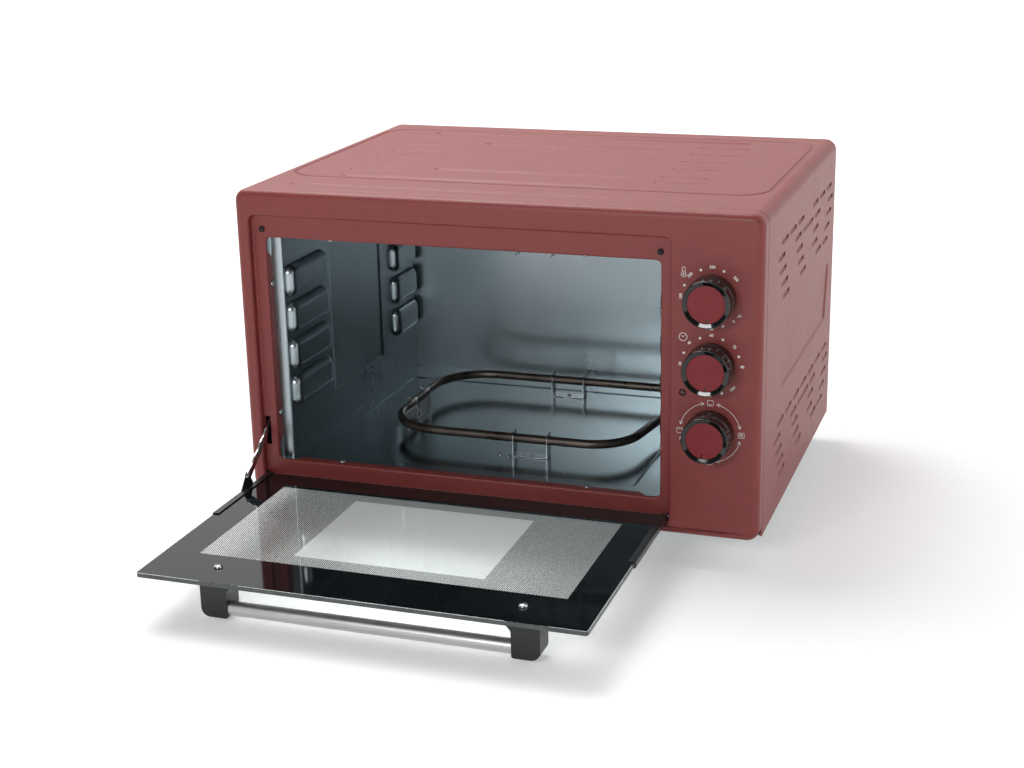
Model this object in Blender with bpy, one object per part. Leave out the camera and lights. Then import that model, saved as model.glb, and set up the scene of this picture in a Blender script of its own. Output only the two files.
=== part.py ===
"""Mini oven with a drop-down glass door, two tube heaters and three control knobs.

Everything is laid out in the oven's own coordinates: x to the right from the middle of the
case, y back from the flat front panel, z up from the bottom sheet. One empty carries those
coordinates, so that the finished model stands on its feet around the middle of its outline.
"""

import math

import bmesh
import bpy
from mathutils import Matrix, Vector

# Case
BODY_WIDTH = 0.520
BODY_HEIGHT = 0.3095
BODY_DEPTH = 0.4014
CLEARANCE = 0.0003
CUT_OVERRUN = 0.002
ROUND_STEPS = 3
FACETS = 16
SMALL_FACETS = 12

# Front panel
FASCIA_SHEET = 0.0012
FASCIA_RETURN = 0.0172
FASCIA_EDGE_RADIUS = 0.0065
FASCIA_CORNER_RADIUS = 0.012
RECESS_LEFT_MARGIN = 0.0142
RECESS_RIGHT_MARGIN = 0.0853
RECESS_TOP_MARGIN = 0.0251
RECESS_BOTTOM_MARGIN = 0.0075
RECESS_DEPTH = 0.008
RECESS_CORNER_RADIUS = 0.007
OPENING_LEFT_FRAME = 0.0137
OPENING_RIGHT_FRAME = 0.0104
OPENING_TOP_FRAME = 0.0228
OPENING_BOTTOM_FRAME = 0.0244
OPENING_CORNER_RADIUS = 0.005
LIP_DEPTH = 0.011
ARM_SLOT_WIDTH = 0.0062
ARM_SLOT_BOTTOM = 0.0468
ARM_SLOT_HEIGHT = 0.030

# Shell, back and base
SHELL_SHEET = 0.0010
SHELL_EDGE_RADIUS = 0.012
SIDE_PANEL_DEPTH = 0.0006
SIDE_PANEL_BACK = 0.370
SIDE_PANEL_FRONT = 0.085
SIDE_PANEL_TOP = 0.181
SIDE_PANEL_BOTTOM = 0.119
SIDE_PANEL_SLANT = 0.017
VENT_LENGTH = 0.033
VENT_HEIGHT = 0.0048
LONG_VENT_LENGTH = 0.060
VENT_ROW_PITCH = 0.0137
VENT_HALF_SPAN = 0.144
VENT_CENTRE = 0.229
VENT_TOPS = (0.266, 0.0875)
VENT_ROW_SHARES = (
    (-0.895, -0.595, -0.295, 0.295, 0.595, 0.895),
    (-1.0, -0.39, 0.39, 0.965),
    (-0.94, -0.325, 0.33, 0.915),
    (-0.875, -0.27, 0.30, 0.845),
    (-0.805, -0.165, 0.475, 0.775),
)
BACK_SHEET = 0.0010
BACK_INSET = 0.003
BACK_VENT_LENGTH = 0.045
BACK_VENT_HEIGHT = 0.004
BACK_VENT_PITCH = 0.012
BACK_VENT_COUNT = 6
BACK_VENT_LOWEST = 0.180
BASE_SHEET = 0.0010
BASE_RAISE = 0.0008

# Feet
FOOT_HEIGHT = 0.032
FOOT_RADIUS = 0.014
FOOT_TOP_RADIUS = 0.011
FOOT_EDGE_RADIUS = 0.002
FOOT_FRONT_INSET = 0.105
FOOT_BACK_INSET = 0.045
FOOT_SIDE_INSET = 0.045

# Oven liner
LINER_SHEET = 0.0010
LINER_STEP = 0.0111
CAVITY_BACK = 0.352
GUIDE_FRONT_START = 0.0245
GUIDE_FRONT_END = 0.110
GUIDE_REAR_START = 0.286
GUIDE_REAR_END = 0.348
GUIDE_TOP_CENTRE = 0.213
GUIDE_PITCH = 0.038
GUIDE_COUNT = 4
GUIDE_HEIGHT = 0.028
GUIDE_REACH = 0.008
GUIDE_SLOPE = 0.006

# Heaters
HEATER_RADIUS = 0.0045
HEATER_SIDES_RESOLUTION = 2
LOWER_HEATER_HEIGHT = 0.0185
UPPER_HEATER_DROP = 0.022
HEATER_BACK = 0.285
HEATER_FRONT = 0.088
HEATER_LEFT_GAP = 0.072
HEATER_BEND = 0.056
HEATER_OUTLET_DEPTH = 0.213
HEATER_TURN_X = 0.105
HEATER_TURN_RUN = 0.020
HEATER_TURN_RADIUS = 0.048
HEATER_TAIL = 0.020
UPPER_HEATER_FRONT = 0.110
UPPER_HEATER_BACK = 0.270
HEATER_BEND_STEPS = 7
BRACKET_SHEET = 0.0010
BRACKET_LENGTH = 0.037
BRACKET_HEAD = 0.0085
FRONT_BRACKET_X = 0.0107
REAR_BRACKET_X = -0.0103
SIDE_BRACKET_Y = 0.180

# Flange screws
HEAD_SHOULDER_SHARE = 0.94
SCREW_HEAD_RADIUS = 0.0032
SCREW_HEAD_HEIGHT = 0.0022
SCREW_SHANK_RADIUS = 0.0014
SCREW_SHANK_LENGTH = 0.006
SCREW_LIP_INSET = 0.0035
LIP_SCREW_SIDE_SHARES = (0.207, 0.791)
LIP_SCREW_RAIL_SHARES = (0.168, 0.815)

# Bumpers
BUMPER_RADIUS = 0.003
BUMPER_STEM_RADIUS = 0.0013
BUMPER_STEM_LENGTH = 0.003
BUMPER_TOP_INSET = 0.0146
BUMPER_SIDE_INSET = 0.0107

# Door
DOOR_REACH = 0.25635
DOOR_SIDE_GAP = 0.0025
DOOR_SLOT_GAP = 0.0045
GLASS_THICKNESS = 0.004
GLASS_CORNER_RADIUS = 0.003
HINGE_FORWARD = 0.004
HINGE_RISE = 0.009
GLASS_OVER_AXIS = 0.001
CHANNEL_SHEET = 0.0010
CHANNEL_LENGTH = 0.1165
CHANNEL_LEG = 0.0055
BOSS_RADIUS = 0.0034
HINGE_PIN_RADIUS = 0.0015
HINGE_PIN_HEAD_RADIUS = 0.0023
HINGE_PIN_HEAD_LENGTH = 0.0015
PIN_GAP = 0.0004
EAR_BACK_REACH = 0.0443
EAR_RISE = 0.0137
EAR_RADIUS = 0.004
EAR_FOOT_FRONT = 0.058
EAR_FOOT_BACK = 0.035

# Hinge arm and its spring
ARM_SHEET = 0.0015
ARM_LENGTH = 0.076
ARM_HALF_HEIGHT = 0.0042
ARM_ANGLE = math.radians(36)
ARM_NOTCHES = 4
ARM_NOTCH_DEPTH = 0.0011
ARM_PIN_RADIUS = 0.0014
ARM_PIN_HEAD_RADIUS = 0.0026
ARM_PIN_HEAD_LENGTH = 0.0004
SPRING_EYE_RADIUS = 0.0013
SPRING_WIRE_RADIUS = 0.0006
SPRING_COIL_RADIUS = 0.0045
SPRING_LEG = 0.012
SPRING_TURNS = 11
SPRING_TURN_STEPS = 8
SPRING_WIRE_SIDES = 4
ANCHOR_Y = 0.215
ANCHOR_EYE_HEIGHT = 0.032
ANCHOR_WIDTH = 0.010
ANCHOR_FOOT = 0.014

# Handle
HANDLE_SIDE_INSET = 0.04875
HANDLE_SCREW_INSET = 0.0164
HANDLE_FRONT_SETBACK = 0.0235
HANDLE_DEPTH = 0.024
HANDLE_SCREW_SETBACK = 0.031
HANDLE_DROP = 0.0415
HANDLE_FOOT_WIDTH = 0.033
HANDLE_LEG_WIDTH = 0.026
HANDLE_FOOT_HEIGHT = 0.010
HANDLE_FOOT_SLANT = 0.006
HANDLE_CORNER_RADIUS = 0.008
HANDLE_EDGE_RADIUS = 0.002
BAR_RADIUS = 0.0066
BAR_DROP = 0.0337
BAR_SETBACK = 0.0315
BAR_SOCKET_DEPTH = 0.008
BAR_FACETS = 24
HANDLE_SCREW_RADIUS = 0.002
HANDLE_SCREW_HEAD_RADIUS = 0.0042
HANDLE_SCREW_HEAD_HEIGHT = 0.0024
HANDLE_SCREW_LENGTH = 0.013

# Controls
KNOB_SIDE_INSET = 0.0467
KNOB_HEIGHTS = (0.2318, 0.1686, 0.1044)
KNOB_RADIUS = 0.0222
KNOB_REACH = 0.02575
KNOB_GAP = 0.0015
KNOB_SKIRT_LENGTH = 0.012
KNOB_TAPER = 0.0005
KNOB_EDGE_RADIUS = 0.0022
KNOB_FACETS = 32
CAP_RADIUS = 0.0172
CAP_DEPTH = 0.0014
CAP_CROWN = 0.0005
RIM_SLOPE = 0.0007
POINTER_WIDTH = 0.0012
POINTER_LENGTH = 0.0046
SHAFT_RADIUS = 0.003
SHAFT_IN_KNOB = 0.014
SHAFT_IN_BODY = 0.012
NECK_RADIUS = 0.005
NECK_LENGTH = 0.004
CONTROL_WIDTH = 0.038
CONTROL_HEIGHT = 0.040
CONTROL_DEPTHS = (0.024, 0.034, 0.028)
CONTROL_CORNER_RADIUS = 0.004
LAMP_SIDE_INSET = 0.0728
LAMP_HEIGHT = 0.1411
LAMP_RADIUS = 0.0032
LAMP_PROUD = 0.0012
LAMP_BODY_RADIUS = 0.0055
LAMP_BODY_LENGTH = 0.018

# Wiring pieces at the back
GLAND_SIDE_INSET = 0.050
GLAND_HEIGHT = 0.060
GLAND_BORE_RADIUS = 0.0036
GLAND_NECK_RADIUS = 0.0062
GLAND_FLANGE_RADIUS = 0.010
GLAND_FLANGE_LENGTH = 0.002
GLAND_TAIL_LENGTH = 0.008
TERMINAL_WIDTH = 0.034
TERMINAL_HEIGHT = 0.018
TERMINAL_DEPTH = 0.014
TERMINAL_RISE = 0.110
TERMINAL_RIBS = 3
TERMINAL_RIB_WIDTH = 0.007
TERMINAL_RIB_DEPTH = 0.004

# Places that follow from the sizes above
FRONT_Y = -(BODY_DEPTH - DOOR_REACH) / 2
HALF_WIDTH = BODY_WIDTH / 2
RECESS_LEFT = -HALF_WIDTH + RECESS_LEFT_MARGIN
RECESS_RIGHT = HALF_WIDTH - RECESS_RIGHT_MARGIN
RECESS_TOP = BODY_HEIGHT - RECESS_TOP_MARGIN
RECESS_BOTTOM = RECESS_BOTTOM_MARGIN
OPENING_LEFT = RECESS_LEFT + OPENING_LEFT_FRAME
OPENING_RIGHT = RECESS_RIGHT - OPENING_RIGHT_FRAME
OPENING_TOP = RECESS_TOP - OPENING_TOP_FRAME
OPENING_BOTTOM = RECESS_BOTTOM + OPENING_BOTTOM_FRAME
LIP_END = RECESS_DEPTH + LIP_DEPTH
SHELL_START = FASCIA_RETURN + CLEARANCE
LINER_START = RECESS_DEPTH + FASCIA_SHEET + CLEARANCE
LINER_GAP = FASCIA_SHEET + CLEARANCE
FLOOR_TOP = OPENING_BOTTOM - LINER_GAP
ROOF_BOTTOM = OPENING_TOP + LINER_GAP
LINER_RIGHT = OPENING_RIGHT + LINER_GAP
LINER_FLANGE_LEFT = OPENING_LEFT - LINER_GAP
LINER_LEFT = OPENING_LEFT + LINER_STEP
STEP_Y = LIP_END + CLEARANCE
HINGE_Y = HINGE_FORWARD
HINGE_Z = RECESS_BOTTOM + HINGE_RISE
GLASS_TOP = HINGE_Z + GLASS_OVER_AXIS
GLASS_BOTTOM = GLASS_TOP - GLASS_THICKNESS
GLASS_LEFT = RECESS_LEFT + DOOR_SIDE_GAP
GLASS_RIGHT = RECESS_RIGHT - DOOR_SIDE_GAP
GLASS_BACK = RECESS_DEPTH - DOOR_SLOT_GAP
GLASS_FRONT = -DOOR_REACH
DOOR_CENTRE = (GLASS_LEFT + GLASS_RIGHT) / 2
HANDLE_LENGTH = GLASS_RIGHT - GLASS_LEFT - HANDLE_SIDE_INSET * 2
HANDLE_SCREW_SPAN = HANDLE_LENGTH - HANDLE_SCREW_INSET * 2
CLOSED_FACE_Y = HINGE_Y + GLASS_OVER_AXIS
CHANNEL_WALL = CLEARANCE + CHANNEL_SHEET
EAR_Y = HINGE_Y - EAR_BACK_REACH
EAR_Z = HINGE_Z + EAR_RISE
ARM_X = GLASS_LEFT + ARM_SHEET / 2
KNOB_X = HALF_WIDTH - KNOB_SIDE_INSET
CONTROL_NAMES = ("temperature", "timer", "selector")

for leftover in list(bpy.data.objects):
    bpy.data.objects.remove(leftover, do_unlink=True)


def material(name, colour, roughness, metallic=0.0, transmission=0.0):
    finish = bpy.data.materials.new(name)
    finish.use_nodes = True
    shader = finish.node_tree.nodes["Principled BSDF"]
    shader.inputs["Base Color"].default_value = (*colour, 1.0)
    shader.inputs["Roughness"].default_value = roughness
    shader.inputs["Metallic"].default_value = metallic
    shader.inputs["Transmission Weight"].default_value = transmission
    return finish


def empty(name, place, parent=None):
    holder = bpy.data.objects.new(name, None)
    bpy.context.scene.collection.objects.link(holder)
    holder.location = place
    holder.parent = parent
    return holder


datum = empty("oven_datum", (0, FRONT_Y, FOOT_HEIGHT))
door_axis = empty("door_axis", (DOOR_CENTRE, HINGE_Y, HINGE_Z), datum)
arm_axis = empty("arm_axis", (0, EAR_Y - HINGE_Y, EAR_Z - HINGE_Z), door_axis)


def carried_place(holder):
    """The holder's place in the oven's coordinates."""
    place = Vector((0, 0, 0))
    while holder is not datum:
        place += holder.location
        holder = holder.parent
    return place


def piece(name, mesh, finish, holder=datum):
    """A mesh drawn in the oven's coordinates becomes an object on its holder."""
    bmesh.ops.recalc_face_normals(mesh, faces=mesh.faces)
    bmesh.ops.translate(mesh, verts=mesh.verts, vec=-carried_place(holder))
    data = bpy.data.meshes.new(name)
    mesh.to_mesh(data)
    mesh.free()
    data.materials.append(finish)
    data.shade_smooth()
    data.set_sharp_from_angle(angle=math.radians(30))
    made = bpy.data.objects.new(name, data)
    bpy.context.scene.collection.objects.link(made)
    made.parent = holder
    return made


def boolean(target, name, mesh, operation="DIFFERENCE"):
    """Cuts or joins a hidden guide solid into the target."""
    guide = piece(name, mesh, target.data.materials[0], target.parent)
    guide.hide_render = True
    guide.display_type = "WIRE"
    change = target.modifiers.new(name, "BOOLEAN")
    change.operation = operation
    change.solver = "EXACT"
    change.object = guide


def block(mesh, low, high):
    """An upright box between two corners, added to a mesh."""
    low = Vector(low)
    size = Vector(high) - low
    place = Matrix.Translation(low + size / 2) @ Matrix.Diagonal((*size, 1.0))
    bmesh.ops.create_cube(mesh, size=1.0, matrix=place)
    return mesh


def new_block(low, high):
    return block(bmesh.new(), low, high)


def bridge(mesh, loops, ring=False):
    """Joins loops of equal length by quads, with end caps unless they run in a ring."""
    rows = [[mesh.verts.new(point) for point in loop] for loop in loops]
    pairs = list(zip(rows, rows[1:]))
    if ring:
        pairs.append((rows[-1], rows[0]))
    else:
        mesh.faces.new(rows[0])
        mesh.faces.new(reversed(rows[-1]))
    for near, far in pairs:
        for k in range(len(near)):
            after = (k + 1) % len(near)
            mesh.faces.new((near[k], far[k], far[after], near[after]))
    return mesh


def corner_arc(centre, radius, start, steps):
    turn = math.pi / 2 / steps
    return [
        (centre[0] + radius * math.cos(start + k * turn), centre[1] + radius * math.sin(start + k * turn))
        for k in range(steps + 1)
    ]


def rounded_rectangle(left, right, low, high, radius, steps=ROUND_STEPS):
    """Points round a rectangle with round corners, counter-clockwise from the lower right."""
    centres = (
        (right - radius, low + radius, -math.pi / 2),
        (right - radius, high - radius, 0),
        (left + radius, high - radius, math.pi / 2),
        (left + radius, low + radius, math.pi),
    )
    return [p for u, v, start in centres for p in corner_arc((u, v), radius, start, steps)]


def upright(outline, y):
    return [(u, y, v) for u, v in outline]


def prism(outline, axis, start, end):
    """A flat outline pushed along x, y or z. The outline gives the other two in order."""
    places = {
        "x": lambda p, s: (s, p[0], p[1]),
        "y": lambda p, s: (p[0], s, p[1]),
        "z": lambda p, s: (p[0], p[1], s),
    }
    loops = [[places[axis](p, s) for p in outline] for s in (start, end)]
    return bridge(bmesh.new(), loops)


def rod(mesh, centre, radius, axis, start, end, facets=FACETS):
    """A round bar along one axis, added to a mesh. The centre gives the other two in order."""
    turn = math.tau / facets
    outline = [
        (centre[0] + radius * math.cos(turn * k), centre[1] + radius * math.sin(turn * k))
        for k in range(facets)
    ]
    added = prism(outline, axis, start, end)
    data = bpy.data.meshes.new("rod")
    added.to_mesh(data)
    added.free()
    mesh.from_mesh(data)
    bpy.data.meshes.remove(data)
    return mesh


def turned(profile, place, facets=FACETS):
    """A closed profile of (along, radius) turned about an axis.

    place maps (along, across, up) to the oven's coordinates. The first and last points
    lie on the axis for a solid, or the profile is a closed ring round a bore.
    """
    mesh = bmesh.new()
    on_axis = profile[0][1] == 0
    rows = []
    for along, radius in profile:
        if radius == 0:
            rows.append([mesh.verts.new(place(along, 0, 0))])
            continue
        row = []
        for k in range(facets):
            angle = math.tau * k / facets
            row.append(mesh.verts.new(place(along, radius * math.cos(angle), radius * math.sin(angle))))
        rows.append(row)
    pairs = list(zip(rows, rows[1:]))
    if not on_axis:
        pairs.append((rows[-1], rows[0]))
    for near, far in pairs:
        for k in range(facets):
            after = (k + 1) % facets
            corners = [near[k % len(near)], near[after % len(near)], far[after % len(far)], far[k % len(far)]]
            mesh.faces.new(list(dict.fromkeys(corners)))
    return mesh


def along_y(x, z):
    """The place function of a piece turned about a line that runs to the back."""
    return lambda along, across, up: (x + across, along, z + up)


def along_z(x, y):
    return lambda along, across, up: (x + across, y + up, along)


def along_x(y, z):
    return lambda along, across, up: (along, y + across, z + up)


def rounded_route(corners, radius, steps):
    """A flat route with its inner corners rounded by arcs of one radius."""
    points = [Vector(corners[0])]
    for before, here, after in zip(corners, corners[1:], corners[2:]):
        here = Vector(here)
        inward = (Vector(before) - here).normalized()
        outward = (Vector(after) - here).normalized()
        half = inward.angle(outward) / 2
        reach = radius / math.tan(half)
        middle = here + (inward + outward).normalized() * (radius / math.sin(half))
        start = here + inward * reach - middle
        end = here + outward * reach - middle
        sweep = start.angle_signed(end)
        for k in range(steps + 1):
            turn = Matrix.Rotation(-sweep * k / steps, 2)
            points.append(middle + turn @ start)
    points.append(Vector(corners[-1]))
    return points


def tube(name, points, radius, finish):
    """A round tube along a line of points."""
    data = bpy.data.curves.new(name, "CURVE")
    data.dimensions = "3D"
    data.bevel_depth = radius
    data.bevel_resolution = HEATER_SIDES_RESOLUTION
    data.use_fill_caps = True
    line = data.splines.new("POLY")
    line.points.add(len(points) - 1)
    for spot, point in zip(line.points, points):
        spot.co = (*point, 1.0)
    data.materials.append(finish)
    made = bpy.data.objects.new(name, data)
    bpy.context.scene.collection.objects.link(made)
    made.parent = datum
    return made


red_paint = material("red_paint", (0.20, 0.048, 0.045), 0.55)
galvanised = material("galvanised_steel", (0.42, 0.47, 0.50), 0.38, 1.0)
bright_steel = material("bright_steel", (0.62, 0.64, 0.66), 0.28, 1.0)
heater_steel = material("heater_steel", (0.055, 0.045, 0.04), 0.35, 0.8)
black_glass = material("black_glass", (0.01, 0.01, 0.012), 0.08, 0.0, 0.3)
black_plastic = material("black_plastic", (0.015, 0.015, 0.017), 0.45)
gloss_plastic = material("gloss_plastic", (0.012, 0.012, 0.013), 0.18)
red_plastic = material("red_plastic", (0.23, 0.022, 0.03), 0.4)
lamp_plastic = material("lamp_plastic", (0.12, 0.01, 0.012), 0.15)
black_rubber = material("black_rubber", (0.01, 0.01, 0.01), 0.8)
black_steel = material("black_steel", (0.02, 0.02, 0.022), 0.35, 0.6)
satin_metal = material("satin_metal", (0.62, 0.61, 0.59), 0.3, 1.0)
pale_plastic = material("pale_plastic", (0.5, 0.5, 0.48), 0.5)


def case_outline(inset, y):
    radius = max(FASCIA_CORNER_RADIUS - inset, FASCIA_SHEET)
    outline = rounded_rectangle(-HALF_WIDTH + inset, HALF_WIDTH - inset, inset, BODY_HEIGHT - inset, radius)
    return upright(outline, y)


def recess_outline(inset, y):
    radius = max(RECESS_CORNER_RADIUS - inset, FASCIA_SHEET)
    outline = rounded_rectangle(
        RECESS_LEFT + inset, RECESS_RIGHT - inset, RECESS_BOTTOM + inset, RECESS_TOP - inset, radius
    )
    return upright(outline, y)


def opening_outline(inset, y):
    radius = max(OPENING_CORNER_RADIUS - inset, FASCIA_SHEET)
    outline = rounded_rectangle(
        OPENING_LEFT + inset, OPENING_RIGHT - inset, OPENING_BOTTOM + inset, OPENING_TOP - inset, radius
    )
    return upright(outline, y)


def lip_screw_places():
    """Each screw's place on the lip and the way that its head faces."""
    y = LIP_END - SCREW_LIP_INSET
    height = OPENING_TOP - OPENING_BOTTOM
    width = OPENING_RIGHT - OPENING_LEFT
    places = []
    for share in LIP_SCREW_SIDE_SHARES:
        z = OPENING_BOTTOM + height * share
        places.append((Vector((OPENING_LEFT, y, z)), Vector((1, 0, 0))))
        places.append((Vector((OPENING_RIGHT, y, z)), Vector((-1, 0, 0))))
    for share in LIP_SCREW_RAIL_SHARES:
        x = OPENING_LEFT + width * share
        places.append((Vector((x, y, OPENING_BOTTOM)), Vector((0, 0, 1))))
        places.append((Vector((x, y, OPENING_TOP)), Vector((0, 0, -1))))
    return places


def screw_frame(spot, facing):
    """The place function of a piece turned about a line through the lip."""
    across = Vector((0, 1, 0))
    up = facing.cross(across)
    return lambda along, a, b: spot + facing * along + across * a + up * b


def screw_holes():
    """One guide solid per screw, through the lip and the liner behind it."""
    mesh = bmesh.new()
    radius = SCREW_SHANK_RADIUS + CLEARANCE
    reach = SCREW_SHANK_LENGTH + CUT_OVERRUN
    profile = [(CUT_OVERRUN, 0), (CUT_OVERRUN, radius), (-reach, radius), (-reach, 0)]
    for spot, facing in lip_screw_places():
        hole = turned(profile, screw_frame(spot, facing), SMALL_FACETS)
        data = bpy.data.meshes.new("hole")
        hole.to_mesh(data)
        hole.free()
        mesh.from_mesh(data)
        bpy.data.meshes.remove(data)
    return mesh


def bumper_places():
    z = RECESS_TOP - BUMPER_TOP_INSET
    return (("left", RECESS_LEFT + BUMPER_SIDE_INSET, z), ("right", RECESS_RIGHT - BUMPER_SIDE_INSET, z))


def make_fascia():
    """One pressed sheet: outer return, round edge, flat front, door recess and opening lip."""
    quarter = math.pi / 2 / ROUND_STEPS
    inner_radius = FASCIA_EDGE_RADIUS - FASCIA_SHEET
    outer = [case_outline(0, FASCIA_RETURN)]
    inner = [case_outline(FASCIA_SHEET, FASCIA_RETURN)]
    for k in range(ROUND_STEPS + 1):
        across = 1 - math.cos(quarter * k)
        ahead = 1 - math.sin(quarter * k)
        outer.append(case_outline(FASCIA_EDGE_RADIUS * across, FASCIA_EDGE_RADIUS * ahead))
        inner.append(case_outline(FASCIA_SHEET + inner_radius * across, FASCIA_SHEET + inner_radius * ahead))
    outer.append(recess_outline(0, 0))
    outer.append(recess_outline(0, RECESS_DEPTH))
    outer.append(opening_outline(0, RECESS_DEPTH))
    outer.append(opening_outline(0, LIP_END))
    inner.append(recess_outline(-FASCIA_SHEET, FASCIA_SHEET))
    inner.append(recess_outline(-FASCIA_SHEET, RECESS_DEPTH + FASCIA_SHEET))
    inner.append(opening_outline(-FASCIA_SHEET, RECESS_DEPTH + FASCIA_SHEET))
    inner.append(opening_outline(-FASCIA_SHEET, LIP_END))
    sheet = bridge(bmesh.new(), outer + inner[::-1], ring=True)
    fascia = piece("front_fascia", sheet, red_paint)

    through = FASCIA_SHEET + CUT_OVERRUN
    holes = bmesh.new()
    for z in KNOB_HEIGHTS:
        rod(holes, (KNOB_X, z), NECK_RADIUS + CLEARANCE, "y", -CUT_OVERRUN, through)
    lamp_x = HALF_WIDTH - LAMP_SIDE_INSET
    rod(holes, (lamp_x, LAMP_HEIGHT), LAMP_RADIUS + CLEARANCE, "y", -CUT_OVERRUN, through)
    for _side, x, z in bumper_places():
        stem = BUMPER_STEM_RADIUS + CLEARANCE
        rod(holes, (x, z), stem, "y", RECESS_DEPTH - CUT_OVERRUN, RECESS_DEPTH + through, SMALL_FACETS)
    pin = HINGE_PIN_RADIUS + CLEARANCE
    for wall in (RECESS_LEFT, RECESS_RIGHT):
        rod(holes, (HINGE_Y, HINGE_Z), pin, "x", wall - through, wall + through, SMALL_FACETS)
    slot_left = ARM_X - ARM_SLOT_WIDTH / 2
    block(
        holes,
        (slot_left, RECESS_DEPTH - CUT_OVERRUN, ARM_SLOT_BOTTOM),
        (slot_left + ARM_SLOT_WIDTH, RECESS_DEPTH + through, ARM_SLOT_BOTTOM + ARM_SLOT_HEIGHT),
    )
    boolean(fascia, "fascia_holes", holes)
    boolean(fascia, "fascia_screw_holes", screw_holes())


def vent_places():
    """Each louvre slot's middle and length: two groups alike, the lower with one slot more."""
    for top in VENT_TOPS:
        for row, shares in enumerate(VENT_ROW_SHARES):
            for share in shares:
                yield VENT_CENTRE + VENT_HALF_SPAN * share, top - VENT_ROW_PITCH * row, VENT_LENGTH
        yield VENT_CENTRE, top - VENT_ROW_PITCH, LONG_VENT_LENGTH
    yield VENT_CENTRE, min(VENT_TOPS), VENT_LENGTH


def side_panel_outline():
    """The long slanted field pressed between the two groups of vents."""
    return [
        (SIDE_PANEL_FRONT, SIDE_PANEL_TOP),
        (SIDE_PANEL_BACK, SIDE_PANEL_TOP),
        (SIDE_PANEL_BACK - SIDE_PANEL_SLANT, SIDE_PANEL_BOTTOM),
        (SIDE_PANEL_FRONT + SIDE_PANEL_SLANT, SIDE_PANEL_BOTTOM),
    ]


def shell_outline(inset):
    """The arch of the shell's section: up one side, over the top and down the other."""
    radius = SHELL_EDGE_RADIUS - inset
    edge = HALF_WIDTH - inset
    top = BODY_HEIGHT - inset
    right = corner_arc((edge - radius, top - radius), radius, 0, ROUND_STEPS)
    left = corner_arc((-edge + radius, top - radius), radius, math.pi / 2, ROUND_STEPS)
    return [(edge, 0)] + right + left + [(-edge, 0)]


def make_shell():
    section = shell_outline(0) + shell_outline(SHELL_SHEET)[::-1]
    shell = piece("outer_shell", prism(section, "y", SHELL_START, BODY_DEPTH), red_paint)
    slots = bmesh.new()
    for side in (-1, 1):
        wall = sorted((side * (HALF_WIDTH + CUT_OVERRUN), side * (HALF_WIDTH - SHELL_SHEET - CUT_OVERRUN)))
        for y, z, length in vent_places():
            half = length / 2
            block(slots, (wall[0], y - half, z - VENT_HEIGHT / 2), (wall[1], y + half, z + VENT_HEIGHT / 2))
    boolean(shell, "shell_vents", slots)
    fields = bmesh.new()
    for side in (-1, 1):
        wall = sorted((side * (HALF_WIDTH - SIDE_PANEL_DEPTH), side * (HALF_WIDTH + CUT_OVERRUN)))
        loops = [[(x, y, z) for y, z in side_panel_outline()] for x in wall]
        bridge(fields, loops)
    boolean(shell, "shell_side_fields", fields)


def make_back_and_base():
    """The sheets that close the case behind and below, inside the shell."""
    edge = HALF_WIDTH - SHELL_SHEET - CLEARANCE
    top = BODY_HEIGHT - SHELL_SHEET - CLEARANCE
    radius = SHELL_EDGE_RADIUS - SHELL_SHEET - CLEARANCE
    right = corner_arc((edge - radius, top - radius), radius, 0, ROUND_STEPS)
    left = corner_arc((-edge + radius, top - radius), radius, math.pi / 2, ROUND_STEPS)
    outline = [(edge, 0)] + right + left + [(-edge, 0)]
    back = BODY_DEPTH - BACK_INSET
    panel = piece("back_panel", prism(outline, "y", back - BACK_SHEET, back), red_paint)
    holes = bmesh.new()
    near = back - BACK_SHEET - CUT_OVERRUN
    far = back + CUT_OVERRUN
    rod(holes, (HALF_WIDTH - GLAND_SIDE_INSET, GLAND_HEIGHT), GLAND_NECK_RADIUS + CLEARANCE, "y", near, far)
    for k in range(BACK_VENT_COUNT):
        z = BACK_VENT_LOWEST + BACK_VENT_PITCH * k
        for x in (KNOB_X, -KNOB_X + BACK_VENT_LENGTH):
            half = BACK_VENT_LENGTH / 2
            block(holes, (x - half, near, z), (x + half, far, z + BACK_VENT_HEIGHT))
    boolean(panel, "back_holes", holes)

    low = (-edge, SHELL_START, BASE_RAISE)
    high = (edge, back - BACK_SHEET - CLEARANCE, BASE_RAISE + BASE_SHEET)
    piece("base_plate", new_block(low, high), galvanised)


def make_feet():
    top = BASE_RAISE - CLEARANCE
    profile = [
        (-FOOT_HEIGHT, 0),
        (-FOOT_HEIGHT, FOOT_RADIUS - FOOT_EDGE_RADIUS),
        (-FOOT_HEIGHT + FOOT_EDGE_RADIUS, FOOT_RADIUS),
        (top, FOOT_TOP_RADIUS),
        (top, 0),
    ]
    depths = (("front", FOOT_FRONT_INSET), ("rear", BODY_DEPTH - FOOT_BACK_INSET))
    for row, y in depths:
        for side, x in (("left", -HALF_WIDTH + FOOT_SIDE_INSET), ("right", HALF_WIDTH - FOOT_SIDE_INSET)):
            piece(f"foot_{row}_{side}", turned(profile, along_z(x, y)), black_plastic)


def frustum(mesh, low, high, slope, foot_x, face_x):
    """A pressed block on a side wall, with sloping edges."""
    foot = [(low[0], low[1]), (high[0], low[1]), (high[0], high[1]), (low[0], high[1])]
    face = [
        (low[0] + slope, low[1] + slope),
        (high[0] - slope, low[1] + slope),
        (high[0] - slope, high[1] - slope),
        (low[0] + slope, high[1] - slope),
    ]
    bridge(mesh, [[(foot_x, y, z) for y, z in foot], [(face_x, y, z) for y, z in face]])


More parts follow.
